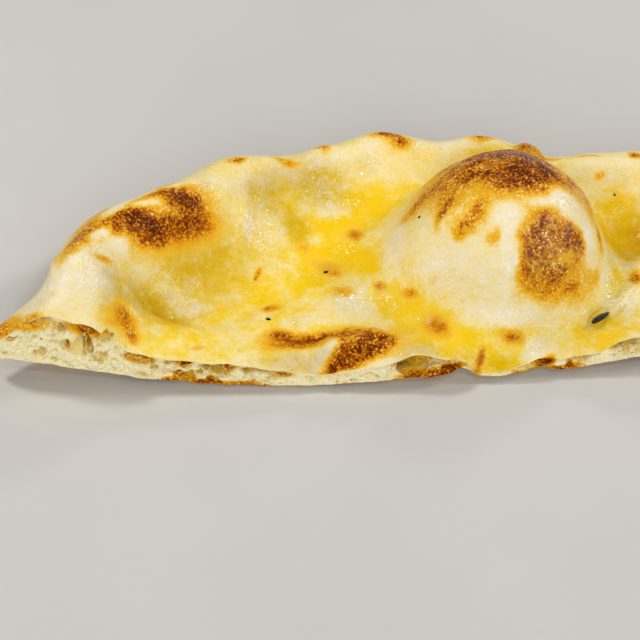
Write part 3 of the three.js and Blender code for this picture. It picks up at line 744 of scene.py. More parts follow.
PORES = (
    Pore("tip_slit", 7.4, 10.5, (2.2, 0.5), 1.3, tilt=12),
    Pore("upper_slit", 11.1, 9.9, (1.3, 0.5), 1.5, tilt=30),
    # its char also darkens the deep hollow under the lip, as painted shade
    Pore("skin_cave", 14.2, 9.9, (1.8, 0.9), 2.8, tilt=-12, char=0.26),
    Pore("skin_cave_end", 16.8, 9.0, (1.5, 0.6), 1.9, tilt=-24),
    Pore("tall_cave", 14.4, 6.4, (0.95, 1.6), 1.9, tilt=8),
    Pore("low_pore", 16.3, 3.9, (0.5, 0.55), 0.9),
    Pore("wide_cave", 21.7, 4.5, (2.0, 0.9), 2.5, tilt=6, char=0.30),
    Pore("charred_pore", 27.9, 3.8, (0.95, 0.55), 1.6, tilt=14, char=0.62),
    Pore("lower_pore", 27.2, 1.9, (0.85, 0.5), 1.1, char=0.66),
    Pore("round_pore", 33.8, 3.15, (0.8, 0.7), 1.7, tilt=24, char=0.66),
    Pore("slot", 36.7, 3.0, (1.6, 0.34), 1.1, tilt=-4),
    Pore("eye", 41.7, 1.7, (1.0, 0.42), 1.4, tilt=-6, char=0.5),
    Pore("blown_cave", 59.8, 3.4, (2.2, 1.35), 3.2, tilt=18, char=0.12),
    Pore("blown_slot", 63.0, 4.1, (2.2, 0.55), 2.4, tilt=-8, char=0.3),
    Pore("shallow_pore", 83.0, 2.5, (1.7, 0.5), 1.1, tilt=4),
    Pore("long_slot", 90.7, 4.05, (2.4, 0.75), 1.9, tilt=10),
    Pore("end_pore", 103.0, 4.1, (2.0, 0.9), 2.2, tilt=-6),
    Pore("end_cave", 112.5, 5.0, (2.3, 1.3), 2.6, tilt=8),
    Pore("end_slit", 118.5, 5.2, (1.5, 0.5), 1.4, tilt=-12),
)


# ---------------------------------------------------------------- finishes


class Paint(Enum):
    """What is painted on the bread, one attribute each."""

    TOAST = "toast"
    BUTTER = "butter"
    PALE_AND_HIGHLIGHT = "pale"
    FROTH = "froth"
    CRUMB = "crumb"
    CAVE_SHADE_AND_TAN = "cave_shade_and_tan"
    SOAKED_AND_SHADE = "soaked_and_shade"


NOISE_ROUGHNESS = 0.55  # how much of a noise lies in its finer layers


class Bench:
    """A material under construction: it adds nodes and joins them."""

    def __init__(self, name: str) -> None:
        """Starts a material with a Principled shader.

        Args:
            name: the material's name.
        """
        self.material = bpy.data.materials.new(name)
        self.material.use_nodes = True
        self.tree = self.material.node_tree
        self.shader = self.tree.nodes["Principled BSDF"]
        self.coords = self.tree.nodes.new("ShaderNodeTexCoord").outputs["Object"]

    def join(self, source: object, socket: Socket) -> None:
        """Gives a socket its value or its link.

        Args:
            source: a number, a colour, or another node's output.
            socket: the input that gets it.
        """
        if isinstance(source, Socket):
            self.tree.links.new(source, socket)
        else:
            socket.default_value = source

    def sums(self, operation: str, *terms: object, clamp: bool = False) -> Socket:
        """One step of arithmetic.

        Args:
            operation: the Math node's operation.
            terms: two or three numbers or sockets.
            clamp: whether the result is kept within 0 and 1.

        Returns:
            The result's socket.
        """
        node = self.tree.nodes.new("ShaderNodeMath")
        node.operation = operation
        node.use_clamp = clamp
        for term, socket in zip(terms, node.inputs):
            self.join(term, socket)
        return node.outputs[0]

    def add(self, *terms: object) -> Socket:
        """The sum of several terms.

        Args:
            terms: numbers or sockets, two at least.

        Returns:
            The sum's socket.
        """
        total = terms[0]
        for term in terms[1:]:
            total = self.sums("ADD", total, term)
        return total

    def times(self, first: object, second: object) -> Socket:
        """The product of two terms."""
        return self.sums("MULTIPLY", first, second)

    def rest(self, share: object) -> Socket:
        """What a share leaves of 1."""
        return self.sums("SUBTRACT", 1.0, share)

    def painted(self, paint: Paint) -> Socket:
        """The value of one painted attribute.

        Args:
            paint: which one.

        Returns:
            The value's socket.
        """
        node = self.tree.nodes.new("ShaderNodeAttribute")
        node.attribute_name = paint.value
        return node.outputs["Fac"]

    def noise(self, size: float, detail: float) -> Socket:
        """Noise about 0, from -0.5 to 0.5.

        Args:
            size: the length over which it changes, in millimetres.
            detail: how many finer layers it has.

        Returns:
            The value's socket.
        """
        node = self.tree.nodes.new("ShaderNodeTexNoise")
        node.inputs["Scale"].default_value = 1.0 / (size * MM)
        node.inputs["Detail"].default_value = detail
        node.inputs["Roughness"].default_value = NOISE_ROUGHNESS
        self.join(self.coords, node.inputs["Vector"])
        return self.sums("SUBTRACT", node.outputs["Fac"], 0.5)

    def cells(self, size: float) -> Socket:
        """Distance to the nearest of many scattered points.

        Args:
            size: mean distance between the points, in millimetres.

        Returns:
            The distance's socket, from 0 at a point to about 0.7.
        """
        node = self.tree.nodes.new("ShaderNodeTexVoronoi")
        node.inputs["Scale"].default_value = 1.0 / (size * MM)
        self.join(self.coords, node.inputs["Vector"])
        return node.outputs["Distance"]

    def between(self, value: object, low: float, high: float) -> Socket:
        """A smooth step.

        Args:
            value: what is stepped.
            low: where the step is 0.
            high: where it is 1.

        Returns:
            The step's socket.
        """
        node = self.tree.nodes.new("ShaderNodeMapRange")
        node.interpolation_type = "SMOOTHSTEP"
        self.join(value, node.inputs["Value"])
        node.inputs["From Min"].default_value = low
        node.inputs["From Max"].default_value = high
        return node.outputs["Result"]

    def colours(self, value: object, *stops: tuple[float, Colour]) -> Socket:
        """A run of colours.

        Args:
            value: where in the run, from 0 to 1.
            stops: places in the run with their colours.

        Returns:
            The colour's socket.
        """
        node = self.tree.nodes.new("ShaderNodeValToRGB")
        run = node.color_ramp.elements
        while len(run) < len(stops):
            run.new(0.5)
        for element, (at, colour) in zip(run, stops):
            element.position = at
            element.color = (*colour, 1.0)
        self.join(value, node.inputs["Fac"])
        return node.outputs["Color"]

    def tinted(self, colour: object, tint: Colour) -> Socket:
        """A colour seen through a tint.

        Args:
            colour: the colour's socket.
            tint: what it is multiplied by.

        Returns:
            The tinted colour's socket.
        """
        node = self.tree.nodes.new("ShaderNodeMix")
        node.data_type = "RGBA"
        node.blend_type = "MULTIPLY"
        node.inputs["Factor"].default_value = 1.0
        self.join(colour, node.inputs["A"])
        node.inputs["B"].default_value = (*tint, 1.0)
        return node.outputs["Result"]

    def blend(self, share: object, under: object, over: object) -> Socket:
        """One colour laid over another.

        Args:
            share: how much of the upper one covers, from 0 to 1.
            under: the lower colour.
            over: the upper colour.

        Returns:
            The colour's socket.
        """
        node = self.tree.nodes.new("ShaderNodeMix")
        node.data_type = "RGBA"
        self.join(share, node.inputs["Factor"])
        self.join(under, node.inputs["A"])
        self.join(over, node.inputs["B"])
        return node.outputs["Result"]

    def bump(self, height: object, depth: float, under: object = None) -> Socket:
        """Fine relief.

        Args:
            height: the relief's height, about 0 to 1.
            depth: how many millimetres a height of 1 stands for.
            under: the normal of coarser relief that it lies on, if any.

        Returns:
            The normal's socket.
        """
        node = self.tree.nodes.new("ShaderNodeBump")
        node.inputs["Distance"].default_value = depth * MM
        self.join(height, node.inputs["Height"])
        if under is not None:
            self.join(under, node.inputs["Normal"])
        return node.outputs["Normal"]


@dataclass(frozen=True)
class BreadFinish:
    """Baked dough: cream to butter yellow, toasted golden to dark brown, with ivory crumb where torn."""

    floury: Colour = (0.97, 0.90, 0.74)
    ivory: Colour = (0.91, 0.80, 0.57)
    straw: Colour = (0.90, 0.74, 0.31)
    yellow: Colour = (0.90, 0.65, 0.055)
    butter: Colour = (0.92, 0.59, 0.004)
    # the tint below also serves as painted shade where the dough lies in shade
    oil_and_shade: Colour = (0.56, 0.48, 0.30)  # tint of dough soaked through with butter
    crumb: Colour = (1.0, 0.89, 0.54)
    # the two crumb colours below are reached where the crumb is painted in shade, in pores and deep behind
    # the cut
    crumb_tan_and_shade: Colour = (0.62, 0.40, 0.055)
    crumb_deep_shade: Colour = (0.30, 0.15, 0.010)
    pale_gold: Colour = (0.89, 0.56, 0.04)
    golden: Colour = (0.80, 0.37, 0.008)
    amber: Colour = (0.59, 0.180, 0.001)
    russet: Colour = (0.38, 0.086, 0.001)
    brown: Colour = (0.245, 0.048, 0.001)
    dark: Colour = (0.105, 0.020, 0.0006)
    buttered: float = 0.36  # roughness of the skin where butter lies on it
    dry: float = 0.62  # and where it doesn't
    grain: float = 0.42  # distance between the crust's tiny blisters, in millimetres
    film_roughness: float = 0.08  # of the wet film on the skin
    sheen: float = 0.10  # how strongly the bare dough reflects
    glow: float = 0.16  # share of the light that scatters inside
    glow_reach: Colour = (1.0, 0.55, 0.22)  # how far it gets, in millimetres
    refraction: float = 1.45

    def material(self) -> Material:
        """Builds the finish.

        Returns:
            The material, which reads the painted attributes.
        """
        bench = Bench("baked_dough")
        toast, butter = bench.painted(Paint.TOAST), bench.painted(Paint.BUTTER)
        pale, froth = bench.painted(Paint.PALE_AND_HIGHLIGHT), bench.painted(Paint.FROTH)
        crumb, cave_shade_and_tan = bench.painted(Paint.CRUMB), bench.painted(Paint.CAVE_SHADE_AND_TAN)
        patchy, blotchy, mottled = bench.noise(5.0, 3.0), bench.noise(2.2, 3.0), bench.noise(1.3, 3.0)
        gritty, dusty = bench.noise(0.42, 2.0), bench.noise(0.2, 1.0)
        tiny = bench.cells(self.grain)

        # dough
        # pale marks lighten the dough; some of them are painted highlight
        yellowness = bench.add(
            0.42, bench.times(butter, 0.62), bench.times(pale, -0.32), bench.times(patchy, 0.60),
            bench.times(blotchy, 0.22), bench.times(mottled, bench.add(0.50, bench.times(butter, 0.30))),
            bench.times(gritty, 0.60), bench.times(dusty, 0.40), bench.times(tiny, 0.10),
            bench.times(blotchy, bench.times(3.4, bench.times(butter, bench.rest(butter)))),
        )
        # pale specks on the froth: tiny blisters, and partly painted highlight standing in for their glints
        specks_and_glints = bench.times(froth, bench.between(tiny, 0.34, 0.10))
        yellowness = bench.add(yellowness, bench.times(specks_and_glints, -0.65))
        dough = bench.colours(
            yellowness,
            (0.0, self.floury), (0.14, self.ivory), (0.47, self.straw), (0.78, self.yellow),
            (1.0, self.butter),
        )
        # painted shade: the torn crumb darkens in its pores and deep behind the cut, besides its random
        # mottle and a tan
        shade = bench.add(cave_shade_and_tan, bench.times(mottled, 0.35), bench.times(gritty, 0.25))
        torn = bench.colours(
            shade, (0.0, self.crumb), (0.15, self.crumb), (0.55, self.crumb_tan_and_shade), (1.0, self.crumb_deep_shade)
        )
        # dough that butter soaks is darker and duller, and the same tint is painted shade in creases,
        # hollows and under the lip
        soaked_and_shade = bench.times(bench.painted(Paint.SOAKED_AND_SHADE), bench.add(0.95, bench.times(mottled, 0.8)))
        base = bench.blend(crumb, bench.blend(soaked_and_shade, dough, bench.tinted(dough, self.oil_and_shade)), torn)

        # toast
        felt = bench.between(toast, 0.02, 0.30)
        dots = bench.times(bench.between(tiny, 0.44, 0.14), bench.between(blotchy, -0.12, 0.10))
        network = bench.times(bench.between(tiny, 0.40, 0.72), 0.12)
        uneven = bench.add(
            bench.times(blotchy, 0.45), bench.times(mottled, 0.65), bench.times(gritty, 1.20),
            bench.times(dusty, 0.45), bench.times(dots, -0.29), network, 0.03,
        )
        oiled = bench.add(1.0, bench.times(butter, -0.80))
        bitten = bench.times(bench.times(felt, oiled), bench.add(0.40, bench.between(toast, 0.15, 0.55)))
        rough_toast = bench.add(toast, bench.times(bitten, uneven))
        baked = bench.colours(
            rough_toast,
            (0.0, self.straw), (0.10, self.pale_gold), (0.32, self.golden), (0.54, self.amber),
            (0.72, self.russet), (0.88, self.brown), (1.0, self.dark),
        )
        covered = bench.between(rough_toast, 0.02, 0.20)
        crusty = bench.between(toast, 0.20, 0.46)
        colour = bench.blend(covered, base, baked)
        bench.join(colour, bench.shader.inputs["Base Color"])

        # gloss
        buttery = bench.sums("MULTIPLY_ADD", butter, 0.75, 0.5, clamp=True)
        bare = bench.rest(crumb)
        moist = bench.add(0.1, buttery, bench.times(froth, 0.6), bench.times(mottled, 0.9))
        wet = bench.sums("MULTIPLY", moist, bare, clamp=True)
        roughness = bench.add(self.dry, bench.times(wet, self.buttered - self.dry), bench.times(crumb, 0.3))
        bench.join(roughness, bench.shader.inputs["Roughness"])
        shiny = bench.times(wet, bench.add(0.14, bench.times(froth, 1.6), bench.times(crusty, 0.12)))
        bench.join(shiny, bench.shader.inputs["Coat Weight"])
        bench.shader.inputs["Coat Roughness"].default_value = self.film_roughness
        bench.shader.inputs["Specular IOR Level"].default_value = self.sheen
        bench.shader.inputs["Subsurface Weight"].default_value = self.glow
        bench.shader.inputs["Subsurface Radius"].default_value = self.glow_reach
        bench.shader.inputs["Subsurface Scale"].default_value = MM
        bench.shader.inputs["IOR"].default_value = self.refraction

        # grain
        blistered = bench.add(0.44, crusty, bench.times(froth, 0.7), bench.times(crumb, 0.4))
        domes = bench.times(bench.sums("SUBTRACT", 0.7, tiny), blistered)
        lumpy = bench.add(0.36, bench.times(crumb, 1.6), bench.times(crusty, 0.5))
        normal = bench.bump(bench.times(mottled, lumpy), 0.22)
        normal = bench.bump(domes, 0.2, normal)
        sandy = bench.add(0.60, crusty, bench.times(crumb, 0.5))
        normal = bench.bump(bench.times(gritty, sandy), 0.16, normal)
        normal = bench.bump(dusty, 0.05, normal)
        bench.join(normal, bench.shader.inputs["Normal"])
        film = bench.bump(bench.times(bench.noise(0.8, 1.0), bench.add(0.25, bench.times(froth, 1.5))), 0.5)
        bench.join(bench.bump(domes, 0.07, film), bench.shader.inputs["Coat Normal"])
        return bench.material


@dataclass(frozen=True)
class SeedFinish:
    """Nigella: black, finely pitted, satin where butter wets it."""

    coal: Colour = (0.005, 0.004, 0.004)
    ash: Colour = (0.018, 0.012, 0.008)

    def material(self) -> Material:
        """Builds the finish.

        Returns:
            The material.
        """
        bench = Bench("nigella_seed")
        ridged, fine = bench.noise(0.5, 2.0), bench.noise(0.16, 1.0)
        tone = bench.add(0.28, bench.times(ridged, 0.9), bench.times(fine, 0.5))
        black = bench.colours(tone, (0.35, self.coal), (0.9, self.ash))
        bench.join(black, bench.shader.inputs["Base Color"])
        bench.join(bench.add(0.42, bench.times(ridged, 0.4)), bench.shader.inputs["Roughness"])
        bench.shader.inputs["Coat Weight"].default_value = 0.22
        bench.shader.inputs["Coat Roughness"].default_value = 0.18
        normal = bench.bump(bench.cells(0.33), 0.10)
        bench.join(bench.bump(fine, 0.05, normal), bench.shader.inputs["Normal"])
        return bench.material


@dataclass(frozen=True)
class TableFinish:
    """A plain pale table top with a faint, soft mottle."""

    tone: Colour = (0.60, 0.585, 0.565)
    shade: Colour = (0.57, 0.555, 0.535)

    def material(self) -> Material:
        """Builds the finish.

        Returns:
            The material.
        """
        bench = Bench("pale_table")
        cloudy = bench.add(0.5, bench.noise(60.0, 3.0))
        mottle = bench.colours(cloudy, (0.3, self.shade), (0.7, self.tone))
        bench.join(mottle, bench.shader.inputs["Base Color"])
        bench.shader.inputs["Roughness"].default_value = 0.6
        bench.join(bench.bump(bench.noise(1.2, 2.0), 0.01), bench.shader.inputs["Normal"])
        return bench.material


# ---------------------------------------------------------------- making and shaping


def deselect() -> None:
    """Leaves edit mode and selects nothing."""
    if bpy.context.mode != "OBJECT":
        bpy.ops.object.mode_set(mode="OBJECT")
    bpy.ops.object.select_all(action="DESELECT")


def edit(*steps: Callable[[], object]) -> None:
    """Takes steps in edit mode, with the whole mesh of the active piece selected.

    Args:
        steps: the operators to run, in order.
    """
    bpy.ops.object.mode_set(mode="EDIT")
    bpy.ops.mesh.select_all(action="SELECT")
    for step in steps:
        step()
    bpy.ops.object.mode_set(mode="OBJECT")


def rounded(piece: Piece, rounds: int) -> None:
    """Subdivides a piece smoothly for good.

    Args:
        piece: the active piece.
        rounds: how many times.
    """
    modifier = piece.modifiers.new("round", "SUBSURF")
    modifier.levels = modifier.render_levels = rounds
    bpy.ops.object.modifier_apply(modifier=modifier.name)


def turned(first: Array, second: Array, degrees: float) -> tuple[Array, Array]:
    """Two coordinates turned anticlockwise in their plane."""
    turn = math.radians(degrees)
    return first * math.cos(turn) - second * math.sin(turn), first * math.sin(turn) + second * math.cos(turn)


def take(piece: Piece) -> None:
    """Makes one piece the only selected one and the active one.

    Args:
        piece: the piece to work on.
    """
    deselect()
    piece.select_set(True)
    bpy.context.view_layer.objects.active = piece


def read(mesh: Mesh, what: str = "co") -> Array:
    """Reads a mesh's points.

    Args:
        mesh: the mesh.
        what: "co" for their places, "normal" for their normals.

    Returns:
        One row for each point, three columns.
    """
    values = np.zeros(len(mesh.vertices) * 3, np.float32)
    mesh.vertices.foreach_get(what, values)
    return values.reshape(-1, 3).astype(float)


def write(mesh: Mesh, places: Array) -> None:
    """Puts a mesh's points in new places."""
    mesh.vertices.foreach_set("co", places.astype(np.float32).ravel())
    mesh.update()


def painted_on(mesh: Mesh, paint: Paint, values: Array) -> None:
    """Stores one painted attribute on a mesh's points."""
    layer = mesh.attributes.get(paint.value) or mesh.attributes.new(paint.value, "FLOAT", "POINT")
    layer.data.foreach_set("value", np.clip(values, 0.0, 1.0).astype(np.float32))


def painting(mesh: Mesh, paint: Paint) -> Array:
    """Reads one painted attribute.

    Args:
        mesh: the mesh.
        paint: which one.

    Returns:
        One value for each point.
    """
    values = np.zeros(len(mesh.vertices), np.float32)
    mesh.attributes[paint.value].data.foreach_get("value", values)
    return values.astype(float)


@dataclass(frozen=True)
class Lumps:
    """Uneven lumps all over a surface.

    They have a height and a length in millimetres, a shift that keeps each set apart, and finer layers.
    """

    height: float
    length: float
    shift: float = 0.0
    layers: int = 2

    def lift(self, grain: Grain, places: Array) -> Array:
        """How far each place stands out."""
        return self.height * grain.layered(places + self.shift, self.length, self.layers)


@dataclass(frozen=True)
class Pits:
    """Round pits of one size in the torn crumb.

    They lie some millimetres apart and have a depth in millimetres. Missing is the share that isn't there.
    """

    seed: int
    apart: float
    depth: float
    missing: float


SKIN_LUMPS = (Lumps(0.26, 6.5), Lumps(0.10, 3.4, 20.0), Lumps(0.07, 1.7, 40.0))
RIM_LUMPS = (Lumps(0.34, 11.0, 70.0), Lumps(0.12, 4.2, 80.0, 3))
CRUMB_PITS = (Pits(8, 2.3, 1.0, 0.55), Pits(9, 1.25, 0.65, 0.40), Pits(10, 0.75, 0.35, 0.2))
SEED_MARGIN = 1.15  # how much of the dough round a solid's seed is levelled with it
PORE_WIDTH = 1.12  # width of a pore's cutter over the pore's
PORE_DEPTH = 1.15  # and its depth over the pore's


@dataclass
class HalfNaan:
    """The bread: crust, butter, toast and torn crumb, as one closed skin."""

    refinement: int = 2  # rounds of smooth subdivision
    recess: float = 0.55  # how far the crumb lies behind the edges of its two crusts
    crust: float = 0.5  # thickness of the crust's edge over the crumb
    raggedness: float = 0.32  # how far the torn edges wander
    small_pores: int = 70
    bubble_top: tuple[float, float] = (72.5, 19.5)  # where the bubble is highest, as s and t
    wrinkle: float = 0.8  # distance between the wrinkles round the bubble
    wrinkle_height: float = 0.2
    finish: BreadFinish = field(default_factory=BreadFinish)

    def __post_init__(self) -> None:
        """Reads the place of the solid in the frame."""
        self.low = np.array(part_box(NODE)[0])
        self.grain = Grain(11)
        self.piece: Piece | None = None

    # places are worked on in millimetres from the low corner of the frame's box, as s, t and z

    def places(self, mesh: Mesh) -> Array:
        """A mesh's points as s, t and z."""
        return (read(mesh) - self.low) / MM

    def put(self, mesh: Mesh, places: Array) -> None:
        """Puts a mesh's points at s, t and z."""
        write(mesh, places * MM + self.low)

    def build(self) -> Piece:
        """Makes the bread.

        Returns:
            The finished piece, dressed and riding on the body.
        """
        self.copy_solid()
        self.refine()
        self.sculpt_skin()
        self.tear_cut()
        self.open_pores()
        self.paint()
        self.dress()
        return self.piece

    def copy_solid(self) -> None:
        """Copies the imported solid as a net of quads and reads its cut."""
        deselect()
        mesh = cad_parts[NODE].data.copy()
        self.piece = bpy.data.objects.new("naan_bread", mesh)
        bpy.context.scene.collection.objects.link(self.piece)
        take(self.piece)
        mesh.materials.clear()
        bpy.ops.mesh.customdata_custom_splitnormals_clear()
        edit(partial(bpy.ops.mesh.remove_doubles, threshold=1e-6))
        self.cut = CutLine.read(self.places(mesh))
        flat = math.radians(60)
        edit(partial(bpy.ops.mesh.tris_convert_to_quads, face_threshold=flat, shape_threshold=flat))
        self.level_seed_beds(mesh)

    def level_seed_beds(self, mesh: Mesh) -> None:
        """Levels the solid's own seeds with the dough round them, to make room for the modelled ones.

        Args:
            mesh: the copied solid.
        """
        places = self.places(mesh)
        ends = np.zeros(len(mesh.edges) * 2, np.int32)
        mesh.edges.foreach_get("vertices", ends)
        ends = ends.reshape(-1, 2)
        for seed in SEEDS:
            away = places - np.array(seed.at)
            turn = math.radians(seed.turn)
            along = away[:, 0] * math.cos(turn) + away[:, 1] * math.sin(turn)
            across = away[:, 1] * math.cos(turn) - away[:, 0] * math.sin(turn)
            half, width = seed.length / 2, seed.length * SOLID_SLIMNESS / 2
            inside = (along / half) ** 2 + (across / width) ** 2 + (away[:, 2] / width) ** 2 < SEED_MARGIN
            crossing = ends[inside[ends[:, 0]] != inside[ends[:, 1]]].ravel()
            brink = np.unique(crossing[inside[crossing]])
            middle = places[brink].mean(axis=0)
            outward = np.linalg.svd(places[brink] - middle)[2][2]
            inside[brink] = False
            places[inside] -= ((places[inside] - middle) @ outward)[:, None] * outward
        self.put(mesh, places)

    def refine(self) -> None:
        """Subdivides the net smoothly and keeps it as the bare skin."""
        take(self.piece)
        rounded(self.piece, self.refinement)
        mesh = self.piece.data
        self.skin = Skin(self.places(mesh), read(mesh, "normal"))

    def crumb_depth(self, places: Array) -> Array:
        """How deep the solid's own pores go behind the cut.

        Args:
            places: points, in millimetres.

        Returns:
            One depth for each place.
        """
        depth = np.zeros(len(places))
        for pore in PORES:
            depth = np.maximum(depth, PORE_DEPTH * pore.depth * bell(pore.off(places, 1.3)))
        return depth

    def on_crumb(self, places: Array, normals: Array) -> Array:
        """Which places lie on the torn face.

        Args:
            places: points, in millimetres.
            normals: their outward normals.

        Returns:
            One value for each place, from 0 to 1.
        """
        behind = places[:, 1] - self.cut.front_at(places[:, 0])
        below = self.cut.lip_at(places[:, 0]) - places[:, 2]
        above = places[:, 2] - self.cut.foot_at(places[:, 0])
        shallow = 1.0 - ramp(behind - self.crumb_depth(places), 0.25, 0.6)
        facing = ramp(-normals[:, 1], -0.1, 0.35)
        return shallow * facing * ramp(below, -0.05, 0.25) * ramp(above, -0.15, 0.1)

    def wrinkles(self, places: Array) -> Array:
        """Fine wrinkles that ring the bubble's flanks.

        Args:
            places: points, in millimetres.

        Returns:
            One value for each place, from -1 to 1.
        """
        away = places[:, :2] - np.array(self.bubble_top)
        out = np.linalg.norm(away, axis=1)
        bearing = np.arctan2(away[:, 1], away[:, 0])
        ringed = np.stack([2.6 * np.cos(bearing), 2.6 * np.sin(bearing), out / self.wrinkle], axis=1)
        return self.grain.layered(ringed, 1.0, 2) * ramp(out, 3.5, 7.0) * (1.0 - ramp(out, 13.5, 15.0))

    def sculpt_skin(self) -> None:
        """Works folds, lumps and blisters into the crust."""
        mesh = self.piece.data
        places, normals = self.skin.places.copy(), self.skin.normals
        crumb = self.on_crumb(places, normals)
        toast = overlaid(TOAST, places, self.skin)
        froth = overlaid(FROTH, places, self.skin)
        butter = overlaid(BUTTER, places, self.skin)
        grain = self.grain
        lift = sum(lumps.lift(grain, places) for lumps in SKIN_LUMPS)
        outer = ramp(normals[:, 1], 0.1, 0.6)
        lift += outer * sum(lumps.lift(grain, places) for lumps in RIM_LUMPS)
        near, lot = grain.blisters(places, 2.6)
        lift += 0.16 * (lot > 0.62) * ramp(0.55 - near, 0.0, 0.5) * (0.4 + 0.6 * butter + 0.4 * toast)
        near, lot = Grain(23).blisters(places, 1.05)
        lift += 0.07 * ramp(0.62 - near, 0.0, 0.5) * (0.15 + 0.75 * toast + froth * (0.8 + 0.9 * lot))
        lift += 0.06 * grain.layered(places + 90.0, 0.9, 2) * (0.3 + toast + 0.4 * froth)
        lift += self.wrinkle_height * self.wrinkles(places) * toast
        under = ramp(-normals[:, 2], 0.3, 0.8)
        lift *= (1.0 - crumb) * (1.0 - 0.8 * under)
        for fold in FOLDS:
            lift += fold.lift(places, self.skin)
        for swell in SWELLS:
            lift += swell.weight(places, self.skin)
        places += normals * lift[:, None]
        places[:, 2] = np.maximum(places[:, 2], 0.0)
        self.put(mesh, places)
        painted_on(mesh, Paint.CRUMB, crumb)

    def tear_cut(self) -> None:
        """Sinks the crumb behind its crusts, roughens it, paints shade into its pits and frays the torn
        edges.
        """
        mesh = self.piece.data
        places, crumb = self.places(mesh), painting(mesh, Paint.CRUMB)
        s, z = places[:, 0], places[:, 2]
        lip, foot, front = self.cut.lip_at(s), self.cut.foot_at(s), self.cut.front_at(s)
        flat = places * np.array([1.0, 0.35, 1.0])
        grain = Grain(5)
        under_lip = ramp(lip - z, 0.3 * self.crust, 1.8 * self.crust)
        between = np.minimum(under_lip, ramp(z - foot, 0.1, 1.3 * self.crust))
        recess = self.recess * between * (0.75 + 0.6 * grain.even(flat, 3.2))
        rough = 0.34 * grain.layered(flat, 1.7, 3) + 0.12 * grain.even(flat + 30.0, 0.55)
        pitted = np.zeros(len(places))
        for pits in CRUMB_PITS:
            near, lot = Grain(pits.seed).blisters(flat + 0.3 * rough[:, None], pits.apart)
            pitted += pits.depth * (lot > pits.missing) * ramp(0.52 - near, 0.0, 0.30)
        # painted shade at the bottom of the pits
        painted_on(mesh, Paint.CAVE_SHADE_AND_TAN, 0.36 * between * pitted)
        places[:, 1] += crumb * np.maximum(recess + between * (rough + pitted), -0.15)
        places[:, 2] += crumb * between * 0.12 * grain.even(flat + 60.0, 0.8)
        behind = self.skin.places[:, 1] - front
        at_lip = bell((z - lip) / 0.7) * bell(np.maximum(behind, 0.0) / 0.8)
        at_foot = bell((z - foot) / 0.6) * bell(np.maximum(behind, 0.0) / 0.9)
        fray = 0.5 + 0.5 * grain.layered(flat + 11.0, 1.7, 3)
        places[:, 1] += self.raggedness * np.maximum(at_lip, at_foot) * fray
        places[:, 2] += 0.14 * at_lip * grain.even(flat + 23.0, 1.1) + 0.22 * at_foot * fray
        self.put(mesh, places)

    def pore_cutter(
        self, name: str, centre: Array, reach: Array, tilt: float, rings: int
    ) -> Piece:
        """One torn hollow, as an uneven egg to cut away.

        Args:
            name: the cutter's name.
            centre: its middle, as s, t and z.
            reach: its half sizes along s, t and z.
            tilt: turn in the plane of the cut, in degrees.
            rings: how finely it is divided.

        Returns:
            The cutter.
        """
        deselect()
        bpy.ops.mesh.primitive_ico_sphere_add(subdivisions=rings, radius=1.0)
        egg = bpy.context.active_object
        egg.name = name
        shape = read(egg.data)
        shape *= (1.0 + 0.38 * Grain(31).layered(shape * 2.2 + centre, 1.5, 2))[:, None]
        shape *= reach
        along, up = turned(shape[:, 0], shape[:, 2], tilt)
        self.put(egg.data, np.stack([along, shape[:, 1], up], axis=1) + centre)
        return egg

    def open_pores(self) -> None:
        """Cuts the pores out of the torn face, the named ones and a seeded scatter of small ones."""
        cutters = bpy.data.collections.new("pore_cutters")
        bpy.context.scene.collection.children.link(cutters)
        eggs = []
        for pore in PORES:
            front = float(self.cut.front_at(pore.s))
            centre = np.array([pore.s, front + 0.25 * pore.depth, pore.z])
            along, up = (PORE_WIDTH * reach for reach in pore.reach)
            reach = np.array([along, PORE_DEPTH * pore.depth, up])
            eggs.append(self.pore_cutter(pore.name, centre, reach, pore.tilt, 4))
        draw = np.random.default_rng(4)
        for index in range(self.small_pores):
            s = draw.uniform(2.5, 124.0)
            lip, foot = float(self.cut.lip_at(s)), float(self.cut.foot_at(s))
            size = draw.uniform(0.18, 0.5) * min(1.0, (lip - foot) / 4.5)
            z = draw.uniform(foot + 0.5, max(foot + 0.55, lip - 0.8))
            centre = np.array([s, float(self.cut.front_at(s)) + 0.35 + draw.uniform(0.0, 0.3), z])
            reach = size * np.array([draw.uniform(1.0, 2.2), 1.3, draw.uniform(0.7, 1.1)])
            eggs.append(self.pore_cutter(f"small_pore_{index}", centre, reach, draw.uniform(-25, 25), 3))
        for egg in eggs:
            for holder in tuple(egg.users_collection):
                holder.objects.unlink(egg)
            cutters.objects.link(egg)
        self.whole = BVHTree.FromObject(self.piece, bpy.context.evaluated_depsgraph_get())
        take(self.piece)
        modifier = self.piece.modifiers.new("pores", "BOOLEAN")
        modifier.operation = "DIFFERENCE"
        modifier.operand_type = "COLLECTION"
        modifier.collection = cutters
        modifier.solver = "MANIFOLD"
        bpy.ops.object.modifier_apply(modifier=modifier.name)
        for egg in eggs:
            bpy.data.objects.remove(egg)
        bpy.data.collections.remove(cutters)
        LOG.info("bread after its pores: %d faces", len(self.piece.data.polygons))

    def paint(self) -> None:
        """Paints toast, butter, froth and crumb on the finished skin, with painted shade and painted
        highlight.
        """
        mesh = self.piece.data
        places, normals = self.places(mesh), read(mesh, "normal")
        grain = Grain(17)
        wander = np.stack([grain.layered(places + 50.0 * axis, 2.8, 3) for axis in range(3)], axis=1)
        fine = np.stack([grain.layered(places + 31.0 + 9.0 * axis, 0.8, 2) for axis in range(3)], axis=1)
        there = places + 0.55 * wander
        there += 0.20 * fine
        inside = np.array([self.whole.find_nearest(Vector(point))[3] for point in read(mesh)]) / MM
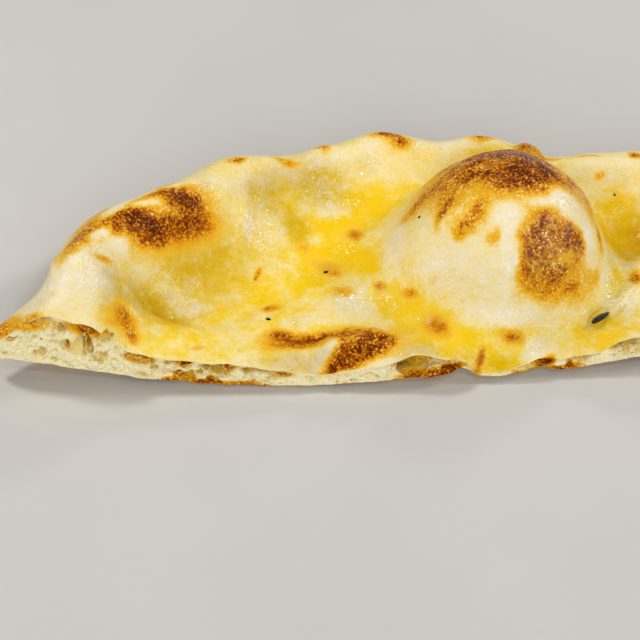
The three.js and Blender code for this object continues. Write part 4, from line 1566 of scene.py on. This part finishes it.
        # painted shade: the crumb darkens with depth in its pores and behind the cut; tanned gives it a tan
        # from 19 to 44 mm
        hollow = ramp(inside, 0.04, 0.12)
        sunken_shade = 0.25 * hollow + 0.6 * ramp(inside, 0.1, 1.2) + 0.15 * ramp(inside, 1.2, 2.4)
        behind = places[:, 1] - self.cut.front_at(places[:, 0])
        near_cut = 1.0 - ramp(behind, 4.5, 5.0)
        crumb = np.maximum(painting(mesh, Paint.CRUMB), hollow * near_cut)
        pits = painting(mesh, Paint.CAVE_SHADE_AND_TAN)
        cave_shade_and_tan = np.maximum.reduce([ramp(behind, 1.3, 2.8), 0.45 * ramp(behind, 0.7, 1.4), sunken_shade, pits])
        tanned = 0.18 * ramp(places[:, 0], 19.0, 22.0) * (1.0 - ramp(places[:, 0], 34.0, 44.0))
        cave_shade_and_tan = crumb * (cave_shade_and_tan + tanned)
        char = np.zeros(len(places))
        for pore in PORES:
            char = np.maximum(char, pore.char * (1.0 - ramp(pore.off(places, 1.15), 0.8, 1.25)) * crumb)
        above = places[:, 2] - self.cut.foot_at(places[:, 0])
        browned = ramp(places[:, 0], 19.0, 25.0) * (1.0 - 0.6 * ramp(places[:, 0], 84.0, 90.0))
        patchy = 0.20 + 0.8 * grain.layered(places, 2.4, 2)
        foot_line = browned * crumb * (1.0 - ramp(above, 0.15, 0.5)) * patchy
        # toast on the cut, with painted shade under the tip's crust and in the hollow under the lip
        cut_toast_and_shade = overlaid(CUT_TOAST_AND_SHADE, places + 0.25 * wander, self.skin)
        # pale marks, some of them painted highlight
        pale = overlaid(PALE_AND_HIGHLIGHT, there, self.skin)
        skin_toast = overlaid(TOAST, there, self.skin, halo=0.42) * (1.0 - pale)
        skin_toast *= 1.0 + 0.65 * self.wrinkles(places)
        under = ramp(-normals[:, 2], 0.25, 0.7) * (1.0 - crumb)
        blotches = ramp(grain.layered(places, 7.0, 3), -0.15, 0.65) * 0.62 + 0.12
        outward = np.maximum(normals[:, 1], normals[:, 0] * ramp(places[:, 0], 100.0, 110.0))
        cloudy = ramp(grain.layered(places + 5.0, 6.0, 3), 0.05, 0.6)
        blush = ramp(outward, 0.35, 0.8) * cloudy * 0.40 * (1.0 - pale)
        skin_toast = skin_toast * (1.0 - 0.9 * crumb)
        skin_toast = np.maximum.reduce([skin_toast, under * blotches, blush * (1.0 - crumb)])
        painted_on(mesh, Paint.TOAST, np.maximum.reduce([skin_toast, char, foot_line, cut_toast_and_shade]))
        buttered = overlaid(BUTTER, there, self.skin) * (1.0 - 0.8 * pale) * (1.0 - under)
        painted_on(mesh, Paint.BUTTER, buttered)
        painted_on(mesh, Paint.PALE_AND_HIGHLIGHT, pale)
        painted_on(mesh, Paint.FROTH, overlaid(FROTH, places, self.skin))
        painted_on(mesh, Paint.CRUMB, crumb)
        painted_on(mesh, Paint.CAVE_SHADE_AND_TAN, cave_shade_and_tan)
        # tint of butter-dark dough, which is also painted shade
        painted_on(mesh, Paint.SOAKED_AND_SHADE, overlaid(SOAKED_AND_SHADE, there, self.skin))

    def dress(self) -> None:
        """Gives the bread its finish and its place on the body."""
        self.piece.data.materials.clear()
        self.piece.data.materials.append(self.finish.material())
        take(self.piece)
        bpy.ops.object.shade_smooth_by_angle(angle=math.radians(55))
        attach(self.piece, BODY)
        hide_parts(NODE)


@dataclass(frozen=True)
class Seed:
    """One nigella seed, or a chip of one: its middle as s, t and z, its turn in degrees, and its length."""

    at: Place
    turn: float
    length: float
    slimness: float = 0.5


SOLID_SLIMNESS = 0.5  # width of the solid's own seeds over their length

# The second and third lie 1 and 2 to 3 mm too low, so the solid's own seeds aren't levelled there and stand
# beside them as small bumps.
SEEDS = (
    Seed((86.4, 8.8, 5.3), 38, 3.4, 0.26),
    Seed((105.0, 28.5, 7.0), -48, 3.2, 0.32),
    Seed((115.5, 24.0, 6.5), 12, 3.4, 0.30),
)

CHIPS = (
    Seed((47.7, 19.9, 3.5), 10, 0.8, 0.45),
    Seed((39.5, 9.4, 4.4), -20, 0.8, 0.5),
    Seed((60.9, 20.2, 14.1), 60, 0.65, 0.4),
    Seed((90.3, 33.3, 6.5), -50, 0.65, 0.4),
    Seed((8.2, 1.8, 7.6), 0, 0.3, 0.6),
)


@dataclass
class NigellaSeeds:
    """The seeds baked into the top, as one piece, with a few chips of broken ones."""

    bread: HalfNaan
    corners: int = 14
    bands: int = 9
    finish: SeedFinish = field(default_factory=SeedFinish)

    def seed(self, seed: Seed, index: int) -> Piece:
        """Models one seed as a slim, three-sided, wrinkled drop.

        Args:
            seed: its place and size.
            index: its number, which seeds its wrinkles.

        Returns:
            The seed.
        """
        deselect()
        bpy.ops.mesh.primitive_uv_sphere_add(segments=self.corners, ring_count=self.bands, radius=0.5)
        drop = bpy.context.active_object
        shape = read(drop.data)
        shape = shape[:, [2, 0, 1]]
        bearing = np.arctan2(shape[:, 2], shape[:, 1])
        girth = (1.0 + 0.13 * np.cos(3.0 * bearing + index)) * (1.0 - 0.35 * shape[:, 0])
        wrinkle = 1.0 + 0.07 * Grain(60 + index).layered(shape * 9.0, 1.6, 2)
        shape[:, 1] *= girth * wrinkle * seed.slimness * 1.06
        shape[:, 2] *= girth * wrinkle * seed.slimness * 1.06
        shape *= seed.length
        s, t = turned(shape[:, 0], shape[:, 1], seed.turn)
        places = np.stack([s, t, shape[:, 2]], axis=1)
        self.bread.put(drop.data, places + self.resting(seed))
        return drop

    def resting(self, seed: Seed) -> Array:
        """Where a seed's middle lies, a little above the skin under it.

        Args:
            seed: its place and size.

        Returns:
            The middle, as s, t and z.
        """
        low = Vector(np.array(seed.at) * MM + self.bread.low)
        touch, outward, _, _ = self.bread.whole.find_nearest(low)
        half = 0.5 * seed.length * seed.slimness
        return (np.array(touch) - self.bread.low) / MM + np.array(outward) * half * 0.15

    def build(self) -> Piece:
        """Makes the seeds.

        Returns:
            The finished piece.
        """
        drops = [self.seed(seed, index) for index, seed in enumerate(SEEDS + CHIPS)]
        deselect()
        for drop in drops:
            drop.select_set(True)
        bpy.context.view_layer.objects.active = drops[0]
        bpy.ops.object.join()
        piece = bpy.context.active_object
        piece.name = "nigella_seeds"
        edit(partial(bpy.ops.mesh.normals_make_consistent, inside=False))
        rounded(piece, 1)
        bpy.ops.object.shade_smooth_by_angle(angle=math.radians(40))
        piece.data.materials.append(self.finish.material())
        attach(piece, BODY)
        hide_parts(NODE)
        return piece


# ---------------------------------------------------------------- studio


@dataclass(frozen=True)
class SoftBox:
    """A square soft light, aimed at the bread.

    It hangs in a direction from the bread, at a distance and with a side in metres, and has a power in
    watts. One that isn't mirrored doesn't show in the bread's gloss.
    """

    name: str
    towards: Place
    distance: float
    size: float
    power: float
    mirrored: bool = True


# a key from behind on the left, a broad fill in front, and three small ones that pick out the gloss
LIGHTS = (
    SoftBox("key", (-0.60, 0.30, 0.85), 0.6, 0.08, 1.4),
    SoftBox("fill", (-0.10, -0.95, 0.50), 0.9, 0.6, 4.75, mirrored=False),
    SoftBox("side", (0.78, 0.18, 0.60), 0.7, 0.12, 1.4),
    SoftBox("top", (0.30, -0.42, 0.86), 0.7, 0.07, 0.5),
    SoftBox("back", (0.33, 0.80, 0.52), 0.7, 0.10, 0.7),
)


@dataclass
class Studio:
    """The pale table, the soft lights and the camera."""

    table: float = 3.0  # side of the table top, in metres
    target: Place = (-16.95, -15.3, 6.0)  # what the camera looks at, in millimetres of the frame
    elevation: float = 45.0
    distance: float = 350.0
    lens: float = 140.0
    sensor: float = 36.0
    nearest: float = 0.01  # where the camera's view starts, in metres
    warmth: Colour = (1.0, 0.985, 0.96)  # of the lights
    glow: float = 0.16  # strength of the room's own light

    def lay_table(self) -> None:
        """Lays the table top under the bread."""
        deselect()
        bpy.ops.mesh.primitive_plane_add(size=self.table, location=(0.0, 0.0, 0.0))
        top = bpy.context.active_object
        top.name = "table_top"
        top.data.materials.append(TableFinish().material())

    def hang_lights(self) -> None:
        """Hangs the soft boxes and fills the room with a soft glow."""
        for box in LIGHTS:
            data = bpy.data.lights.new(box.name, "AREA")
            data.size = box.size
            data.energy = box.power
            data.color = self.warmth
            lamp = bpy.data.objects.new(box.name, data)
            lamp.visible_glossy = box.mirrored
            bpy.context.scene.collection.objects.link(lamp)
            aim = Vector(box.towards).normalized()
            lamp.location = aim * box.distance
            lamp.rotation_euler = aim.to_track_quat("Z", "Y").to_euler()
        world = bpy.data.worlds.new("soft_room")
        world.use_nodes = True
        background = world.node_tree.nodes["Background"]
        background.inputs["Color"].default_value = (*self.warmth, 1.0)
        background.inputs["Strength"].default_value = self.glow
        world.cycles_visibility.glossy = False
        bpy.context.scene.world = world
        bpy.context.scene.view_settings.view_transform = "Standard"

    def place_camera(self) -> None:
        """Stands the camera in front of the cut, looking down on it."""
        data = bpy.data.cameras.new("camera")
        data.lens = self.lens
        data.sensor_width = self.sensor
        data.clip_start = self.nearest
        camera = bpy.data.objects.new("camera", data)
        bpy.context.scene.collection.objects.link(camera)
        tilt = math.radians(self.elevation)
        back = Vector((0.0, -math.cos(tilt), math.sin(tilt)))
        camera.location = (Vector(self.target) + back * self.distance) * MM
        camera.rotation_euler = (math.pi / 2 - tilt, 0.0, 0.0)
        bpy.context.scene.camera = camera


def main() -> None:
    """Builds the bread, its seeds and the studio."""
    logging.basicConfig(level=logging.INFO, format="%(message)s")
    studio = Studio()
    studio.place_camera()
    bread = HalfNaan()
    piece = bread.build()
    LOG.info("%s: %d faces", piece.name, len(piece.data.polygons))
    seeds = NigellaSeeds(bread).build()
    LOG.info("%s: %d faces", seeds.name, len(seeds.data.polygons))
    studio.lay_table()
    studio.hang_lights()


if __name__ == "__main__":
    main()
